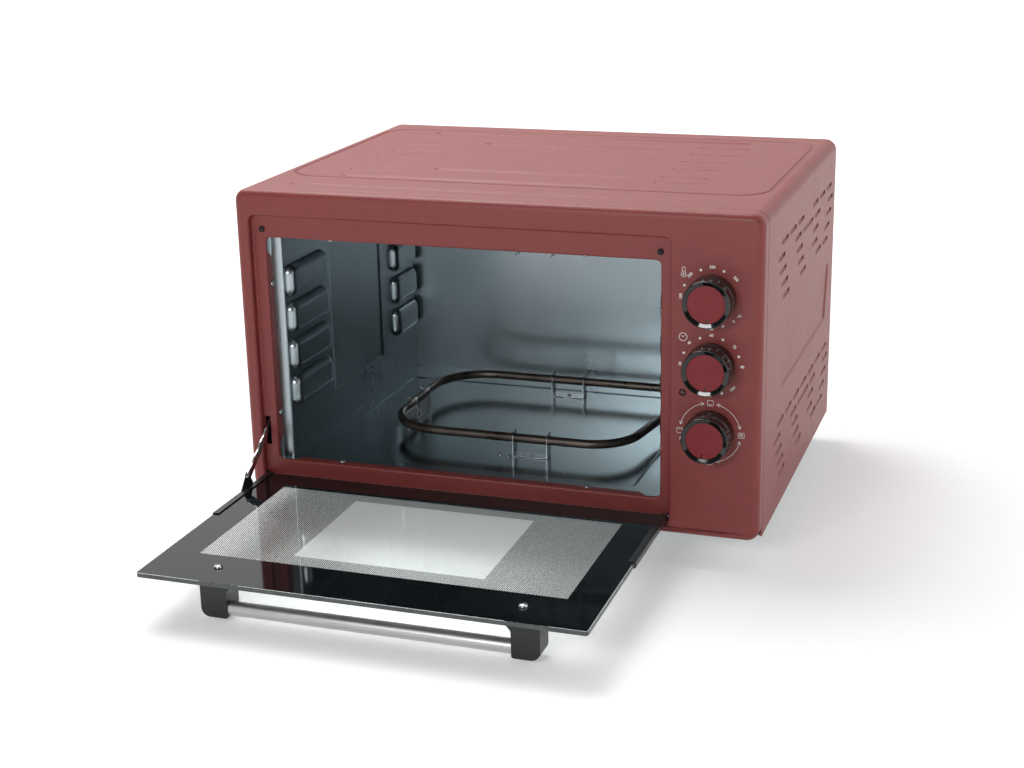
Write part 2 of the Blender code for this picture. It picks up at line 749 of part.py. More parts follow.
def guide_blocks(wall_x, inward):
    """The rack guides that stand out from one side wall, in two columns."""
    mesh = bmesh.new()
    columns = ((GUIDE_FRONT_START, GUIDE_FRONT_END), (GUIDE_REAR_START, GUIDE_REAR_END))
    half = GUIDE_HEIGHT / 2
    foot = wall_x - inward * LINER_SHEET / 2
    face = wall_x + inward * GUIDE_REACH
    for k in range(GUIDE_COUNT):
        z = GUIDE_TOP_CENTRE - GUIDE_PITCH * k
        for start, end in columns:
            frustum(mesh, (start, z - half), (end, z + half), GUIDE_SLOPE, foot, face)
    return mesh


def make_side_wall(name, outline, wall_x, inward):
    low = FLOOR_TOP + CLEARANCE
    high = ROOF_BOTTOM - CLEARANCE
    wall = piece(name, prism(outline, "z", low, high), galvanised)
    boolean(wall, f"{name}_guides", guide_blocks(wall_x, inward), "UNION")
    boolean(wall, f"{name}_screw_holes", screw_holes())


def make_liner():
    """The sheets of the oven's inside. The left one starts inside its flange behind the lip."""
    sheet = LINER_SHEET
    end = CAVITY_BACK - CLEARANCE
    step = STEP_Y + sheet
    left = [
        (LINER_FLANGE_LEFT - sheet, STEP_Y),
        (LINER_LEFT, STEP_Y),
        (LINER_LEFT, end),
        (LINER_LEFT - sheet, end),
        (LINER_LEFT - sheet, step),
        (LINER_FLANGE_LEFT - sheet, step),
    ]
    make_side_wall("cavity_left_wall", left, LINER_LEFT, 1)
    flange_low = (LINER_FLANGE_LEFT - sheet, LINER_START, FLOOR_TOP + CLEARANCE)
    flange_high = (LINER_FLANGE_LEFT, STEP_Y - CLEARANCE, ROOF_BOTTOM - CLEARANCE)
    flange = piece("cavity_left_flange", new_block(flange_low, flange_high), galvanised)
    boolean(flange, "flange_screw_holes", screw_holes())
    right = [
        (LINER_RIGHT, LINER_START),
        (LINER_RIGHT + sheet, LINER_START),
        (LINER_RIGHT + sheet, end),
        (LINER_RIGHT, end),
    ]
    make_side_wall("cavity_right_wall", right, LINER_RIGHT, -1)
    heater_hole = HEATER_RADIUS + CLEARANCE
    exits = bmesh.new()
    near = LINER_RIGHT - CUT_OVERRUN
    far = LINER_RIGHT + sheet + CUT_OVERRUN
    lower_z = FLOOR_TOP + LOWER_HEATER_HEIGHT
    upper_z = ROOF_BOTTOM - UPPER_HEATER_DROP
    for y, z in (
        (HEATER_BACK, lower_z),
        (HEATER_OUTLET_DEPTH, lower_z),
        (UPPER_HEATER_BACK, upper_z),
        (UPPER_HEATER_FRONT, upper_z),
    ):
        rod(exits, (y, z), heater_hole, "x", near, far, SMALL_FACETS)
    boolean(bpy.data.objects["cavity_right_wall"], "heater_exits", exits)

    outer_left = LINER_FLANGE_LEFT - sheet
    outer_right = LINER_RIGHT + sheet
    floor_low = (outer_left, LINER_START, FLOOR_TOP - sheet)
    floor_high = (outer_right, CAVITY_BACK, FLOOR_TOP)
    cavity_floor = piece("cavity_floor", new_block(floor_low, floor_high), galvanised)
    boolean(cavity_floor, "floor_screw_holes", screw_holes())
    roof_low = (outer_left, LINER_START, ROOF_BOTTOM)
    roof_high = (outer_right, CAVITY_BACK, ROOF_BOTTOM + sheet)
    roof = piece("cavity_roof", new_block(roof_low, roof_high), galvanised)
    boolean(roof, "roof_screw_holes", screw_holes())
    back_y = CAVITY_BACK + CLEARANCE
    back_low = (outer_left, back_y, FLOOR_TOP - sheet)
    back_high = (outer_right, back_y + sheet, ROOF_BOTTOM + sheet)
    piece("cavity_back_wall", new_block(back_low, back_high), galvanised)


def bracket(name, spot, along, sheet_z, rod_z):
    """A bent strip with two ears that hold a heater tube, on the floor or under the roof."""
    up = 1 if rod_z > sheet_z else -1
    seat = sheet_z + up * CLEARANCE
    top = rod_z + up * BRACKET_HEAD
    half_length = BRACKET_LENGTH / 2
    half_ear = HEATER_RADIUS + BRACKET_SHEET * 2

    def place(lengthways, sideways, height):
        x, y = spot
        if along == "x":
            return (x + lengthways, y + sideways, height)
        return (x + sideways, y + lengthways, height)

    def span(mesh, low, high):
        a = place(*low)
        b = place(*high)
        return block(mesh, [min(p) for p in zip(a, b)], [max(p) for p in zip(a, b)])

    strip = span(
        bmesh.new(),
        (-half_length, -half_ear, seat),
        (half_length, half_ear, seat + up * BRACKET_SHEET),
    )
    holder = piece(name, strip, bright_steel)
    for number, end in enumerate((-1, 1)):
        inner = end * (half_length - BRACKET_SHEET)
        ear = span(
            bmesh.new(),
            (inner, -half_ear, seat + up * BRACKET_SHEET / 2),
            (end * half_length, half_ear, top),
        )
        boolean(holder, f"{name}_ear_{number}", ear, "UNION")
    bore = bmesh.new()
    radius = HEATER_RADIUS + CLEARANCE
    reach = half_length + CUT_OVERRUN
    if along == "x":
        rod(bore, (spot[1], rod_z), radius, "x", spot[0] - reach, spot[0] + reach, SMALL_FACETS)
    else:
        rod(bore, (spot[0], rod_z), radius, "y", spot[1] - reach, spot[1] + reach, SMALL_FACETS)
    boolean(holder, f"{name}_bore", bore)


def make_heaters():
    left = LINER_LEFT + HEATER_LEFT_GAP
    tail = LINER_RIGHT + LINER_SHEET + HEATER_TAIL
    lower_z = FLOOR_TOP + LOWER_HEATER_HEIGHT
    loop = rounded_route(
        [(tail, HEATER_BACK), (left, HEATER_BACK), (left, HEATER_FRONT), (HEATER_TURN_X, HEATER_FRONT)],
        HEATER_BEND,
        HEATER_BEND_STEPS,
    )
    turn_end = (HEATER_TURN_X + HEATER_TURN_RUN, HEATER_OUTLET_DEPTH)
    swing = rounded_route(
        [(left, HEATER_FRONT), (HEATER_TURN_X, HEATER_FRONT), turn_end, (tail, HEATER_OUTLET_DEPTH)],
        HEATER_TURN_RADIUS,
        HEATER_BEND_STEPS,
    )
    route = [(p[0], p[1], lower_z) for p in loop[:-1] + swing[1:]]
    tube("lower_heater", route, HEATER_RADIUS, heater_steel)

    upper_z = ROOF_BOTTOM - UPPER_HEATER_DROP
    front = UPPER_HEATER_FRONT
    back = UPPER_HEATER_BACK
    hairpin = rounded_route(
        [(tail, back), (left, back), (left, front), (tail, front)],
        HEATER_BEND,
        HEATER_BEND_STEPS,
    )
    tube("upper_heater", [(p[0], p[1], upper_z) for p in hairpin], HEATER_RADIUS, heater_steel)

    bracket("lower_bracket_front", (FRONT_BRACKET_X, HEATER_FRONT), "x", FLOOR_TOP, lower_z)
    bracket("lower_bracket_rear", (REAR_BRACKET_X, HEATER_BACK), "x", FLOOR_TOP, lower_z)
    bracket("lower_bracket_left", (left, SIDE_BRACKET_Y), "y", FLOOR_TOP, lower_z)
    bracket("upper_bracket_front", (FRONT_BRACKET_X, UPPER_HEATER_FRONT), "x", ROOF_BOTTOM, upper_z)
    bracket("upper_bracket_rear", (REAR_BRACKET_X, UPPER_HEATER_BACK), "x", ROOF_BOTTOM, upper_z)


def make_lip_screws():
    seat = CLEARANCE
    profile = [
        (-SCREW_SHANK_LENGTH, 0),
        (-SCREW_SHANK_LENGTH, SCREW_SHANK_RADIUS),
        (seat, SCREW_SHANK_RADIUS),
        (seat, SCREW_HEAD_RADIUS),
        (seat + SCREW_HEAD_HEIGHT / 2, SCREW_HEAD_RADIUS * HEAD_SHOULDER_SHARE),
        (seat + SCREW_HEAD_HEIGHT, SCREW_HEAD_RADIUS / 2),
        (seat + SCREW_HEAD_HEIGHT, 0),
    ]
    for number, (spot, facing) in enumerate(lip_screw_places(), 1):
        screw = turned(profile, screw_frame(spot, facing), SMALL_FACETS)
        piece(f"flange_screw_{number}", screw, bright_steel)


def make_bumpers():
    seat = RECESS_DEPTH - CLEARANCE
    front = CLOSED_FACE_Y + CLEARANCE
    back = RECESS_DEPTH + FASCIA_SHEET + BUMPER_STEM_LENGTH
    profile = [
        (front, 0),
        (front, BUMPER_RADIUS - BUMPER_STEM_RADIUS / 2),
        (front + (seat - front) / 2, BUMPER_RADIUS),
        (seat, BUMPER_RADIUS),
        (seat, BUMPER_STEM_RADIUS),
        (back, BUMPER_STEM_RADIUS),
        (back, 0),
    ]
    for side, x, z in bumper_places():
        piece(f"door_bumper_{side}", turned(profile, along_y(x, z), FACETS), black_rubber)


def make_glass():
    outline = rounded_rectangle(GLASS_LEFT, GLASS_RIGHT, GLASS_FRONT, GLASS_BACK, GLASS_CORNER_RADIUS, 2)
    glass = piece("door_glass", prism(outline, "z", GLASS_BOTTOM, GLASS_TOP), black_glass, door_axis)
    holes = bmesh.new()
    for x in handle_screw_x():
        low = GLASS_BOTTOM - CUT_OVERRUN
        high = GLASS_TOP + CUT_OVERRUN
        rod(holes, (x, handle_screw_y()), HANDLE_SCREW_RADIUS + CLEARANCE, "z", low, high, FACETS)
    boolean(glass, "glass_holes", holes)


def handle_screw_x():
    return (DOOR_CENTRE - HANDLE_SCREW_SPAN / 2, DOOR_CENTRE + HANDLE_SCREW_SPAN / 2)


def handle_screw_y():
    return GLASS_FRONT + HANDLE_SCREW_SETBACK


def make_channel(side, edge_x, outward):
    """The black steel channel that grips one edge of the pane and turns on the hinge pin."""
    top = GLASS_TOP + CHANNEL_WALL
    low = GLASS_BOTTOM - CHANNEL_WALL
    wall_out = edge_x + outward * CHANNEL_WALL
    wall_in = edge_x + outward * CLEARANCE
    leg_end = edge_x - outward * CHANNEL_LEG
    section = [
        (wall_out, low),
        (leg_end, low),
        (leg_end, low + CHANNEL_SHEET),
        (wall_in, low + CHANNEL_SHEET),
        (wall_in, top - CHANNEL_SHEET),
        (leg_end, top - CHANNEL_SHEET),
        (leg_end, top),
        (wall_out, top),
    ]
    front = GLASS_BACK - CHANNEL_LENGTH
    channel = piece(f"door_channel_{side}", prism(section, "y", front, GLASS_BACK), black_steel, door_axis)
    boss = bmesh.new()
    boss_in = edge_x + outward * CLEARANCE
    boss_out = edge_x + outward * (CHANNEL_WALL + CLEARANCE)
    rod(boss, (HINGE_Y, HINGE_Z), BOSS_RADIUS, "x", *sorted((boss_in, boss_out)))
    boolean(channel, f"channel_boss_{side}", boss, "UNION")
    if outward < 0:
        boolean(channel, "channel_ear", ear_plate(wall_in, wall_out), "UNION")
    bore = bmesh.new()
    reach = edge_x + outward * (CHANNEL_WALL + CUT_OVERRUN)
    rod(bore, (HINGE_Y, HINGE_Z), HINGE_PIN_RADIUS + PIN_GAP, "x", *sorted((leg_end, reach)), FACETS)
    if outward < 0:
        rod(bore, (EAR_Y, EAR_Z), ARM_PIN_RADIUS + CLEARANCE, "x", *sorted((leg_end, reach)), FACETS)
    boolean(channel, f"channel_bore_{side}", bore)


def ear_plate(wall_in, wall_out):
    """The upright ear on the left channel that carries the arm's pin."""
    low = GLASS_TOP
    arc = [
        (EAR_Y + EAR_RADIUS * math.cos(math.radians(a)), EAR_Z + EAR_RADIUS * math.sin(math.radians(a)))
        for a in range(0, 181, 30)
    ]
    outline = [(HINGE_Y - EAR_FOOT_FRONT, low), (HINGE_Y - EAR_FOOT_BACK, low)] + arc
    return prism(outline, "x", *sorted((wall_in, wall_out)))


def make_hinge_pins():
    for side, wall, outward in (("left", RECESS_LEFT, -1), ("right", RECESS_RIGHT, 1)):
        end = wall - outward * (DOOR_SIDE_GAP - CLEARANCE)
        head = wall + outward * (FASCIA_SHEET + CLEARANCE)
        back = head + outward * HINGE_PIN_HEAD_LENGTH
        profile = [
            (end, 0),
            (end, HINGE_PIN_RADIUS),
            (head, HINGE_PIN_RADIUS),
            (head, HINGE_PIN_HEAD_RADIUS),
            (back, HINGE_PIN_HEAD_RADIUS),
            (back, 0),
        ]
        piece(f"hinge_pin_{side}", turned(profile, along_x(HINGE_Y, HINGE_Z), FACETS), bright_steel)


def on_arm(along, across):
    """A point of the arm as (y, z), along its length and across it, with the door open."""
    cosine = math.cos(ARM_ANGLE)
    sine = math.sin(ARM_ANGLE)
    return (EAR_Y + along * cosine - across * sine, EAR_Z + along * sine + across * cosine)


def make_hinge_arm():
    """The flat notched arm between the door's ear and the spring, and its pin."""
    half = ARM_HALF_HEIGHT
    tail = ARM_LENGTH + half
    half_round = [math.radians(degrees) for degrees in range(90, 271, 30)]
    outline = [(half * math.cos(a), half * math.sin(a)) for a in half_round]
    outline += [(tail, -half), (tail, half)]
    spacing = (ARM_LENGTH - half * 2) / ARM_NOTCHES
    for k in range(ARM_NOTCHES, 0, -1):
        middle = half + spacing * (k - 1 / 2)
        outline.append((middle + spacing / 4, half))
        outline.append((middle, half - ARM_NOTCH_DEPTH))
        outline.append((middle - spacing / 4, half))
    points = [on_arm(*p) for p in outline]
    near = ARM_X - ARM_SHEET / 2
    far = ARM_X + ARM_SHEET / 2
    arm = piece("hinge_arm", prism(points, "x", near, far), bright_steel, arm_axis)
    bore = bmesh.new()
    before = near - CUT_OVERRUN
    after = far + CUT_OVERRUN
    rod(bore, on_arm(0, 0), ARM_PIN_RADIUS + CLEARANCE, "x", before, after)
    rod(bore, on_arm(ARM_LENGTH, 0), SPRING_EYE_RADIUS, "x", before, after, SMALL_FACETS)
    boolean(arm, "arm_bores", bore)

    outer = GLASS_LEFT - CHANNEL_WALL - CLEARANCE
    inner = far + CLEARANCE
    profile = [
        (outer - ARM_PIN_HEAD_LENGTH, 0),
        (outer - ARM_PIN_HEAD_LENGTH, ARM_PIN_HEAD_RADIUS),
        (outer, ARM_PIN_HEAD_RADIUS),
        (outer, ARM_PIN_RADIUS),
        (inner, ARM_PIN_RADIUS),
        (inner, ARM_PIN_HEAD_RADIUS),
        (inner + ARM_PIN_HEAD_LENGTH, ARM_PIN_HEAD_RADIUS),
        (inner + ARM_PIN_HEAD_LENGTH, 0),
    ]
    piece("arm_pin", turned(profile, along_x(EAR_Y, EAR_Z), FACETS), bright_steel, door_axis)


def spring_line():
    """The wire's middle line: a hook in the arm, a coil, and a hook in the anchor."""
    tail = on_arm(ARM_LENGTH, 0)
    start = Vector((ARM_X, tail[0], tail[1]))
    end = Vector((ARM_X, ANCHOR_Y, ANCHOR_EYE_HEIGHT))
    ahead = (end - start).normalized()
    across = Vector((1, 0, 0))
    up = ahead.cross(across)
    hook = ARM_SHEET / 2 + SPRING_WIRE_RADIUS + CLEARANCE * 2
    inside = across * hook
    points = [start + inside, start - inside, start - inside + ahead * SPRING_LEG / 2]
    coil_start = start + ahead * SPRING_LEG
    coil = (end - ahead * SPRING_LEG) - coil_start
    steps = SPRING_TURNS * SPRING_TURN_STEPS
    for k in range(steps + 1):
        angle = math.tau * k / SPRING_TURN_STEPS
        ring = across * -math.cos(angle) + up * math.sin(angle)
        points.append(coil_start + coil * (k / steps) + ring * SPRING_COIL_RADIUS)
    points += [end - inside - ahead * SPRING_LEG / 2, end - inside, end + inside]
    return points


def make_spring():
    points = spring_line()
    loops = []
    for k, point in enumerate(points):
        before = points[max(k - 1, 0)]
        after = points[min(k + 1, len(points) - 1)]
        ahead = (after - before).normalized()
        side = ahead.cross(Vector((0, 0, 1))).normalized()
        if k in (0, 1, len(points) - 2, len(points) - 1):
            side = Vector((0, 1, 0)).cross(ahead).cross(ahead).normalized()
        up = ahead.cross(side)
        if side.cross(up).dot(ahead) < 0:
            up = -up
        loops.append([
            point + (side * math.cos(math.tau * j / SPRING_WIRE_SIDES)
                     + up * math.sin(math.tau * j / SPRING_WIRE_SIDES)) * SPRING_WIRE_RADIUS
            for j in range(SPRING_WIRE_SIDES)
        ])
    piece("hinge_spring", bridge(bmesh.new(), loops), bright_steel)

    near = ARM_X - ARM_SHEET / 2
    far = ARM_X + ARM_SHEET / 2
    seat = BASE_RAISE + BASE_SHEET + CLEARANCE
    half = ANCHOR_WIDTH / 2
    top = ANCHOR_EYE_HEIGHT + half
    post = new_block((near, ANCHOR_Y - half, seat), (far, ANCHOR_Y + half, top))
    anchor = piece("spring_anchor", post, bright_steel)
    foot_high = (near + ANCHOR_FOOT, ANCHOR_Y + half, seat + ARM_SHEET)
    boolean(anchor, "anchor_foot", new_block((near, ANCHOR_Y - half, seat), foot_high), "UNION")
    spot = (ANCHOR_Y, ANCHOR_EYE_HEIGHT)
    before = near - CUT_OVERRUN
    after = far + CUT_OVERRUN
    eye = rod(bmesh.new(), spot, SPRING_EYE_RADIUS, "x", before, after, SMALL_FACETS)
    boolean(anchor, "anchor_eye", eye)


def handle_end_outline(side):
    """One end of the handle seen from the front, from the screw foot down round the bar."""
    outer = DOOR_CENTRE + side * HANDLE_LENGTH / 2
    foot = outer - side * HANDLE_FOOT_WIDTH
    leg = outer - side * HANDLE_LEG_WIDTH
    top = GLASS_BOTTOM - CLEARANCE
    low = top - HANDLE_DROP
    radius = HANDLE_CORNER_RADIUS
    step = top - HANDLE_FOOT_HEIGHT
    round_corner = [
        (outer - side * (radius - radius * math.sin(a)), low + radius - radius * math.cos(a))
        for a in (math.pi / 2 / ROUND_STEPS * k for k in range(ROUND_STEPS + 1))
    ]
    inner_side = [(foot, top), (foot, step), (leg, step - HANDLE_FOOT_SLANT), (leg, low)]
    return inner_side + round_corner + [(outer, top)]


def make_handle():
    front = GLASS_FRONT + HANDLE_FRONT_SETBACK
    back = front + HANDLE_DEPTH
    bar_y = GLASS_FRONT + BAR_SETBACK
    top = GLASS_BOTTOM - CLEARANCE
    bar_z = top - BAR_DROP
    inner_half = HANDLE_LENGTH / 2 - HANDLE_LEG_WIDTH
    bar_half = inner_half + BAR_SOCKET_DEPTH
    screw_y = handle_screw_y()
    for side, name, screw_x in ((-1, "left", handle_screw_x()[0]), (1, "right", handle_screw_x()[1])):
        outline = handle_end_outline(side)
        end = piece(f"handle_end_{name}", prism(outline, "y", front, back), black_plastic, door_axis)
        soften = end.modifiers.new("soft_edges", "BEVEL")
        soften.width = HANDLE_EDGE_RADIUS
        soften.segments = 2
        soften.limit_method = "ANGLE"
        soften.angle_limit = math.radians(50)
        cuts = bmesh.new()
        socket_in = DOOR_CENTRE + side * (inner_half - CUT_OVERRUN)
        socket_out = DOOR_CENTRE + side * (bar_half + CLEARANCE)
        rod(cuts, (bar_y, bar_z), BAR_RADIUS + CLEARANCE, "x", *sorted((socket_in, socket_out)))
        depth = HANDLE_SCREW_LENGTH - GLASS_THICKNESS
        screw_hole = HANDLE_SCREW_RADIUS + CLEARANCE
        rod(cuts, (screw_x, screw_y), screw_hole, "z", top - depth - CLEARANCE, top + CUT_OVERRUN, FACETS)
        boolean(end, f"handle_cuts_{name}", cuts)

        seat = GLASS_TOP + CLEARANCE
        tip = GLASS_TOP - HANDLE_SCREW_LENGTH
        profile = [
            (tip, 0),
            (tip, HANDLE_SCREW_RADIUS),
            (seat, HANDLE_SCREW_RADIUS),
            (seat, HANDLE_SCREW_HEAD_RADIUS),
            (seat + HANDLE_SCREW_HEAD_HEIGHT / 2, HANDLE_SCREW_HEAD_RADIUS * HEAD_SHOULDER_SHARE),
            (seat + HANDLE_SCREW_HEAD_HEIGHT, HANDLE_SCREW_HEAD_RADIUS / 2),
            (seat + HANDLE_SCREW_HEAD_HEIGHT, 0),
        ]
        screw = turned(profile, along_z(screw_x, screw_y), FACETS)
        piece(f"handle_screw_{name}", screw, bright_steel, door_axis)
    ends = (DOOR_CENTRE - bar_half, DOOR_CENTRE + bar_half)
    bar = rod(bmesh.new(), (bar_y, bar_z), BAR_RADIUS, "x", *ends, BAR_FACETS)
    piece("handle_bar", bar, satin_metal, door_axis)


def make_control(name, z, depth):
    """One switch body behind the panel, with its shaft, knob and coloured cap."""
    axis = empty(f"{name}_axis", (KNOB_X, 0, z), datum)
    body_front = FASCIA_SHEET + CLEARANCE
    half_width = CONTROL_WIDTH / 2
    half_height = CONTROL_HEIGHT / 2
    outline = rounded_rectangle(
        KNOB_X - half_width, KNOB_X + half_width, z - half_height, z + half_height, CONTROL_CORNER_RADIUS, 2
    )
    body = piece(f"{name}_switch", prism(outline, "y", body_front, body_front + depth), pale_plastic)
    neck_front = body_front - NECK_LENGTH
    neck = rod(bmesh.new(), (KNOB_X, z), NECK_RADIUS, "y", neck_front, body_front + CONTROL_CORNER_RADIUS)
    boolean(body, f"{name}_neck", neck, "UNION")
    bore_end = body_front + SHAFT_IN_BODY + CLEARANCE
    bore = rod(bmesh.new(), (KNOB_X, z), SHAFT_RADIUS + CLEARANCE, "y", neck_front - CUT_OVERRUN, bore_end)
    boolean(body, f"{name}_bore", bore)

    knob_back = -KNOB_GAP
    knob_front = -KNOB_REACH
    face = knob_front + CAP_DEPTH
    shaft_front = knob_back - SHAFT_IN_KNOB
    shaft = rod(bmesh.new(), (KNOB_X, z), SHAFT_RADIUS, "y", shaft_front, body_front + SHAFT_IN_BODY)
    piece(f"{name}_shaft", shaft, bright_steel, axis)

    neck_room = NECK_RADIUS + CLEARANCE * 2
    neck_pocket = min(neck_front - CLEARANCE * 2, knob_back - CLEARANCE)
    hub = SHAFT_RADIUS + CLEARANCE
    edge = KNOB_EDGE_RADIUS
    grip = KNOB_RADIUS - KNOB_TAPER
    profile = [
        (face, 0),
        (face, CAP_RADIUS + CLEARANCE),
        (knob_front + RIM_SLOPE, CAP_RADIUS + CLEARANCE),
        (knob_front, grip - edge),
        (knob_front + edge / 3, grip - edge / 3),
        (knob_front + edge, grip),
        (knob_back - KNOB_SKIRT_LENGTH, grip),
        (knob_back - KNOB_SKIRT_LENGTH + KNOB_TAPER, KNOB_RADIUS),
        (knob_back, KNOB_RADIUS),
        (knob_back, neck_room),
        (neck_pocket, neck_room),
        (neck_pocket, hub),
        (shaft_front - CLEARANCE, hub),
        (shaft_front - CLEARANCE, 0),
    ]
    piece(f"{name}_knob", turned(profile, along_y(KNOB_X, z), KNOB_FACETS), gloss_plastic, axis)
    cap_front = knob_front + RIM_SLOPE
    cap_profile = [
        (face - CLEARANCE, 0),
        (face - CLEARANCE, CAP_RADIUS),
        (cap_front + CAP_CROWN / 2, CAP_RADIUS),
        (cap_front, CAP_RADIUS - CAP_CROWN),
        (cap_front, 0),
    ]
    cap = piece(f"{name}_cap", turned(cap_profile, along_y(KNOB_X, z), KNOB_FACETS), red_plastic, axis)
    slit = new_block(
        (KNOB_X - POINTER_WIDTH / 2, knob_front - CUT_OVERRUN, z - CAP_RADIUS - CUT_OVERRUN),
        (KNOB_X + POINTER_WIDTH / 2, face + CUT_OVERRUN, z - CAP_RADIUS + POINTER_LENGTH),
    )
    boolean(cap, f"{name}_pointer", slit)


def make_lamp():
    x = HALF_WIDTH - LAMP_SIDE_INSET
    body_front = FASCIA_SHEET + CLEARANCE
    profile = [
        (-LAMP_PROUD, 0),
        (-LAMP_PROUD, LAMP_RADIUS / 2),
        (-LAMP_PROUD / 3, LAMP_RADIUS),
        (body_front, LAMP_RADIUS),
        (body_front, LAMP_BODY_RADIUS),
        (body_front + LAMP_BODY_LENGTH, LAMP_BODY_RADIUS),
        (body_front + LAMP_BODY_LENGTH, 0),
    ]
    piece("indicator_lamp", turned(profile, along_y(x, LAMP_HEIGHT)), lamp_plastic)


def make_wiring_pieces():
    """The cord's bush in the back panel, and the block where the wires meet."""
    x = HALF_WIDTH - GLAND_SIDE_INSET
    back = BODY_DEPTH - BACK_INSET
    inside = back - BACK_SHEET
    flange_back = back + CLEARANCE + GLAND_FLANGE_LENGTH
    profile = [
        (flange_back, GLAND_BORE_RADIUS),
        (flange_back, GLAND_FLANGE_RADIUS),
        (back + CLEARANCE, GLAND_FLANGE_RADIUS),
        (back + CLEARANCE, GLAND_NECK_RADIUS),
        (inside - GLAND_TAIL_LENGTH, GLAND_NECK_RADIUS),
        (inside - GLAND_TAIL_LENGTH, GLAND_BORE_RADIUS),
    ]
    piece("cord_gland", turned(profile, along_y(x, GLAND_HEIGHT)), black_plastic)

    far = inside - CLEARANCE
    near = far - TERMINAL_DEPTH
    low = (x - TERMINAL_WIDTH / 2, near, TERMINAL_RISE)
    high = (x + TERMINAL_WIDTH / 2, far, TERMINAL_RISE + TERMINAL_HEIGHT)
    terminal = piece("terminal_block", new_block(low, high), pale_plastic)
    spacing = TERMINAL_WIDTH / TERMINAL_RIBS
    ribs = bmesh.new()
    for k in range(TERMINAL_RIBS):
        middle = x + (k - (TERMINAL_RIBS - 1) / 2) * spacing
        half = TERMINAL_RIB_WIDTH / 2
        rib_low = (middle - half, near - TERMINAL_RIB_DEPTH, low[2])
        rib_high = (middle + half, near + CLEARANCE, high[2])
        block(ribs, rib_low, rib_high)
    boolean(terminal, "terminal_ribs", ribs, "UNION")


make_fascia()
make_shell()
make_back_and_base()
make_feet()
make_liner()
make_heaters()
make_lip_screws()
make_bumpers()
make_glass()
make_channel("left", GLASS_LEFT, -1)
make_channel("right", GLASS_RIGHT, 1)
make_hinge_pins()
make_hinge_arm()
make_spring()
make_handle()
for control_name, control_height, control_depth in zip(CONTROL_NAMES, KNOB_HEIGHTS, CONTROL_DEPTHS):
    make_control(control_name, control_height, control_depth)
make_lamp()
make_wiring_pieces()
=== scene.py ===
"""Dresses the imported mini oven: painted case, galvanised oven, printed glass door and dials.

Pieces are drawn in millimetres in the oven's own coordinates: x to the right from the middle
of the case, y back from the flat front panel, z up from the bottom sheet. set_down() brings
each one to metres in the frame.
"""

import math

import bmesh
import bpy
from mathutils import Matrix, Vector
from mathutils.geometry import delaunay_2d_cdt


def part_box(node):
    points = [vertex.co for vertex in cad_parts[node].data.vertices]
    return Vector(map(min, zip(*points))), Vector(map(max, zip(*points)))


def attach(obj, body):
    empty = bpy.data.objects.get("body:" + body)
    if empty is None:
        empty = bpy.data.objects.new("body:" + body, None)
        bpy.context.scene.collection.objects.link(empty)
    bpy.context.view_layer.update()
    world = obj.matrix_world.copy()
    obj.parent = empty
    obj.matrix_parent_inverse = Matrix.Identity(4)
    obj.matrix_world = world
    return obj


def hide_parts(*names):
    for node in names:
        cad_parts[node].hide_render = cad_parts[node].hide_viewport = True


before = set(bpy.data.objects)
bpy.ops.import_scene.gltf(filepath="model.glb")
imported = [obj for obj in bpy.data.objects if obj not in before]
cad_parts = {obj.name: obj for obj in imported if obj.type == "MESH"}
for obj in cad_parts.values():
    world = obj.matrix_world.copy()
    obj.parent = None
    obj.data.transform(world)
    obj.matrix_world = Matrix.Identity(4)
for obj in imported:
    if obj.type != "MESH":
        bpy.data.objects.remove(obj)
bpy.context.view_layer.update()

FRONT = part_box("front_fascia")[0].y
SHEET_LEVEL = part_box("outer_shell")[0].z
TO_FRAME = Matrix.Translation((0, FRONT, SHEET_LEVEL)) @ Matrix.Scale(0.001, 4)

# Case, recess and opening, in millimetres
SIDE = 260.0
TOP = 309.5
DEPTH = 401.4
RECESS = (-245.8, 174.7, 7.5, 284.4)
OPENING = (-232.1, 164.3, 31.9, 261.6)
RECESS_DEPTH = 8.0
LIP_END = 19.0
SHELL_START = 17.5

# Oven liner
WALL_LEFT = -221.0
FLANGE_LEFT = -233.6
WALL_RIGHT = 165.8
LINER_START = 9.5
CAVITY_BACK = 352.0
FLOOR_TOP = 30.4
ROOF_BOTTOM = 263.1
GUIDE_LEVELS = (213, 175, 137, 99)
GUIDE_COLUMNS = ((24.5, 110), (286, 348))
GUIDE_HALF_HEIGHT = 16
LOWER_TUBE = 48.9
UPPER_TUBE = 241.1
TUBE_RADIUS = 4.5
TUBE_ENDS = ((285, LOWER_TUBE), (213, LOWER_TUBE), (270, UPPER_TUBE), (110, UPPER_TUBE))
SHEET = 0.8
CORD_BUSH = (210, 60)
VENTS_MIDDLE = 229
VENT_PITCH = 13.7
VENT_TOPS = (266.0, 87.5)

# Door
GLASS = (-243.3, 172.2, -256.35, 3.5)
GLASS_TOP = 17.5
GLASS_BOTTOM = 13.5
DOOR_CENTRE = -35.55
HINGE = (4.0, 16.5)
EAR = (-40.3, 30.2)
ARM_X = -242.55
ARM_LENGTH = 76.0
SPRING_ANCHOR = (215.0, 32.0)
HANDLE_SCREW_Y = -225.35
HANDLE_SCREWS_X = (DOOR_CENTRE - 142.6, DOOR_CENTRE + 142.6)
ARM_ANGLE = math.radians(36)

# Controls
KNOB_X = 213.3
KNOB_LEVELS = {"temperature": 231.8, "timer": 168.6, "selector": 104.4}
POINTER_TURNS = {"temperature": 4.0, "timer": 0.0, "selector": -9.0}
LAMP = (187.2, 141.1)


# ---- Making pieces

def new_object(name, mesh):
    """A piece in the scene made from a working mesh, which is freed."""
    data = bpy.data.meshes.new(name)
    mesh.to_mesh(data)
    mesh.free()
    made = bpy.data.objects.new(name, data)
    bpy.context.scene.collection.objects.link(made)
    return made


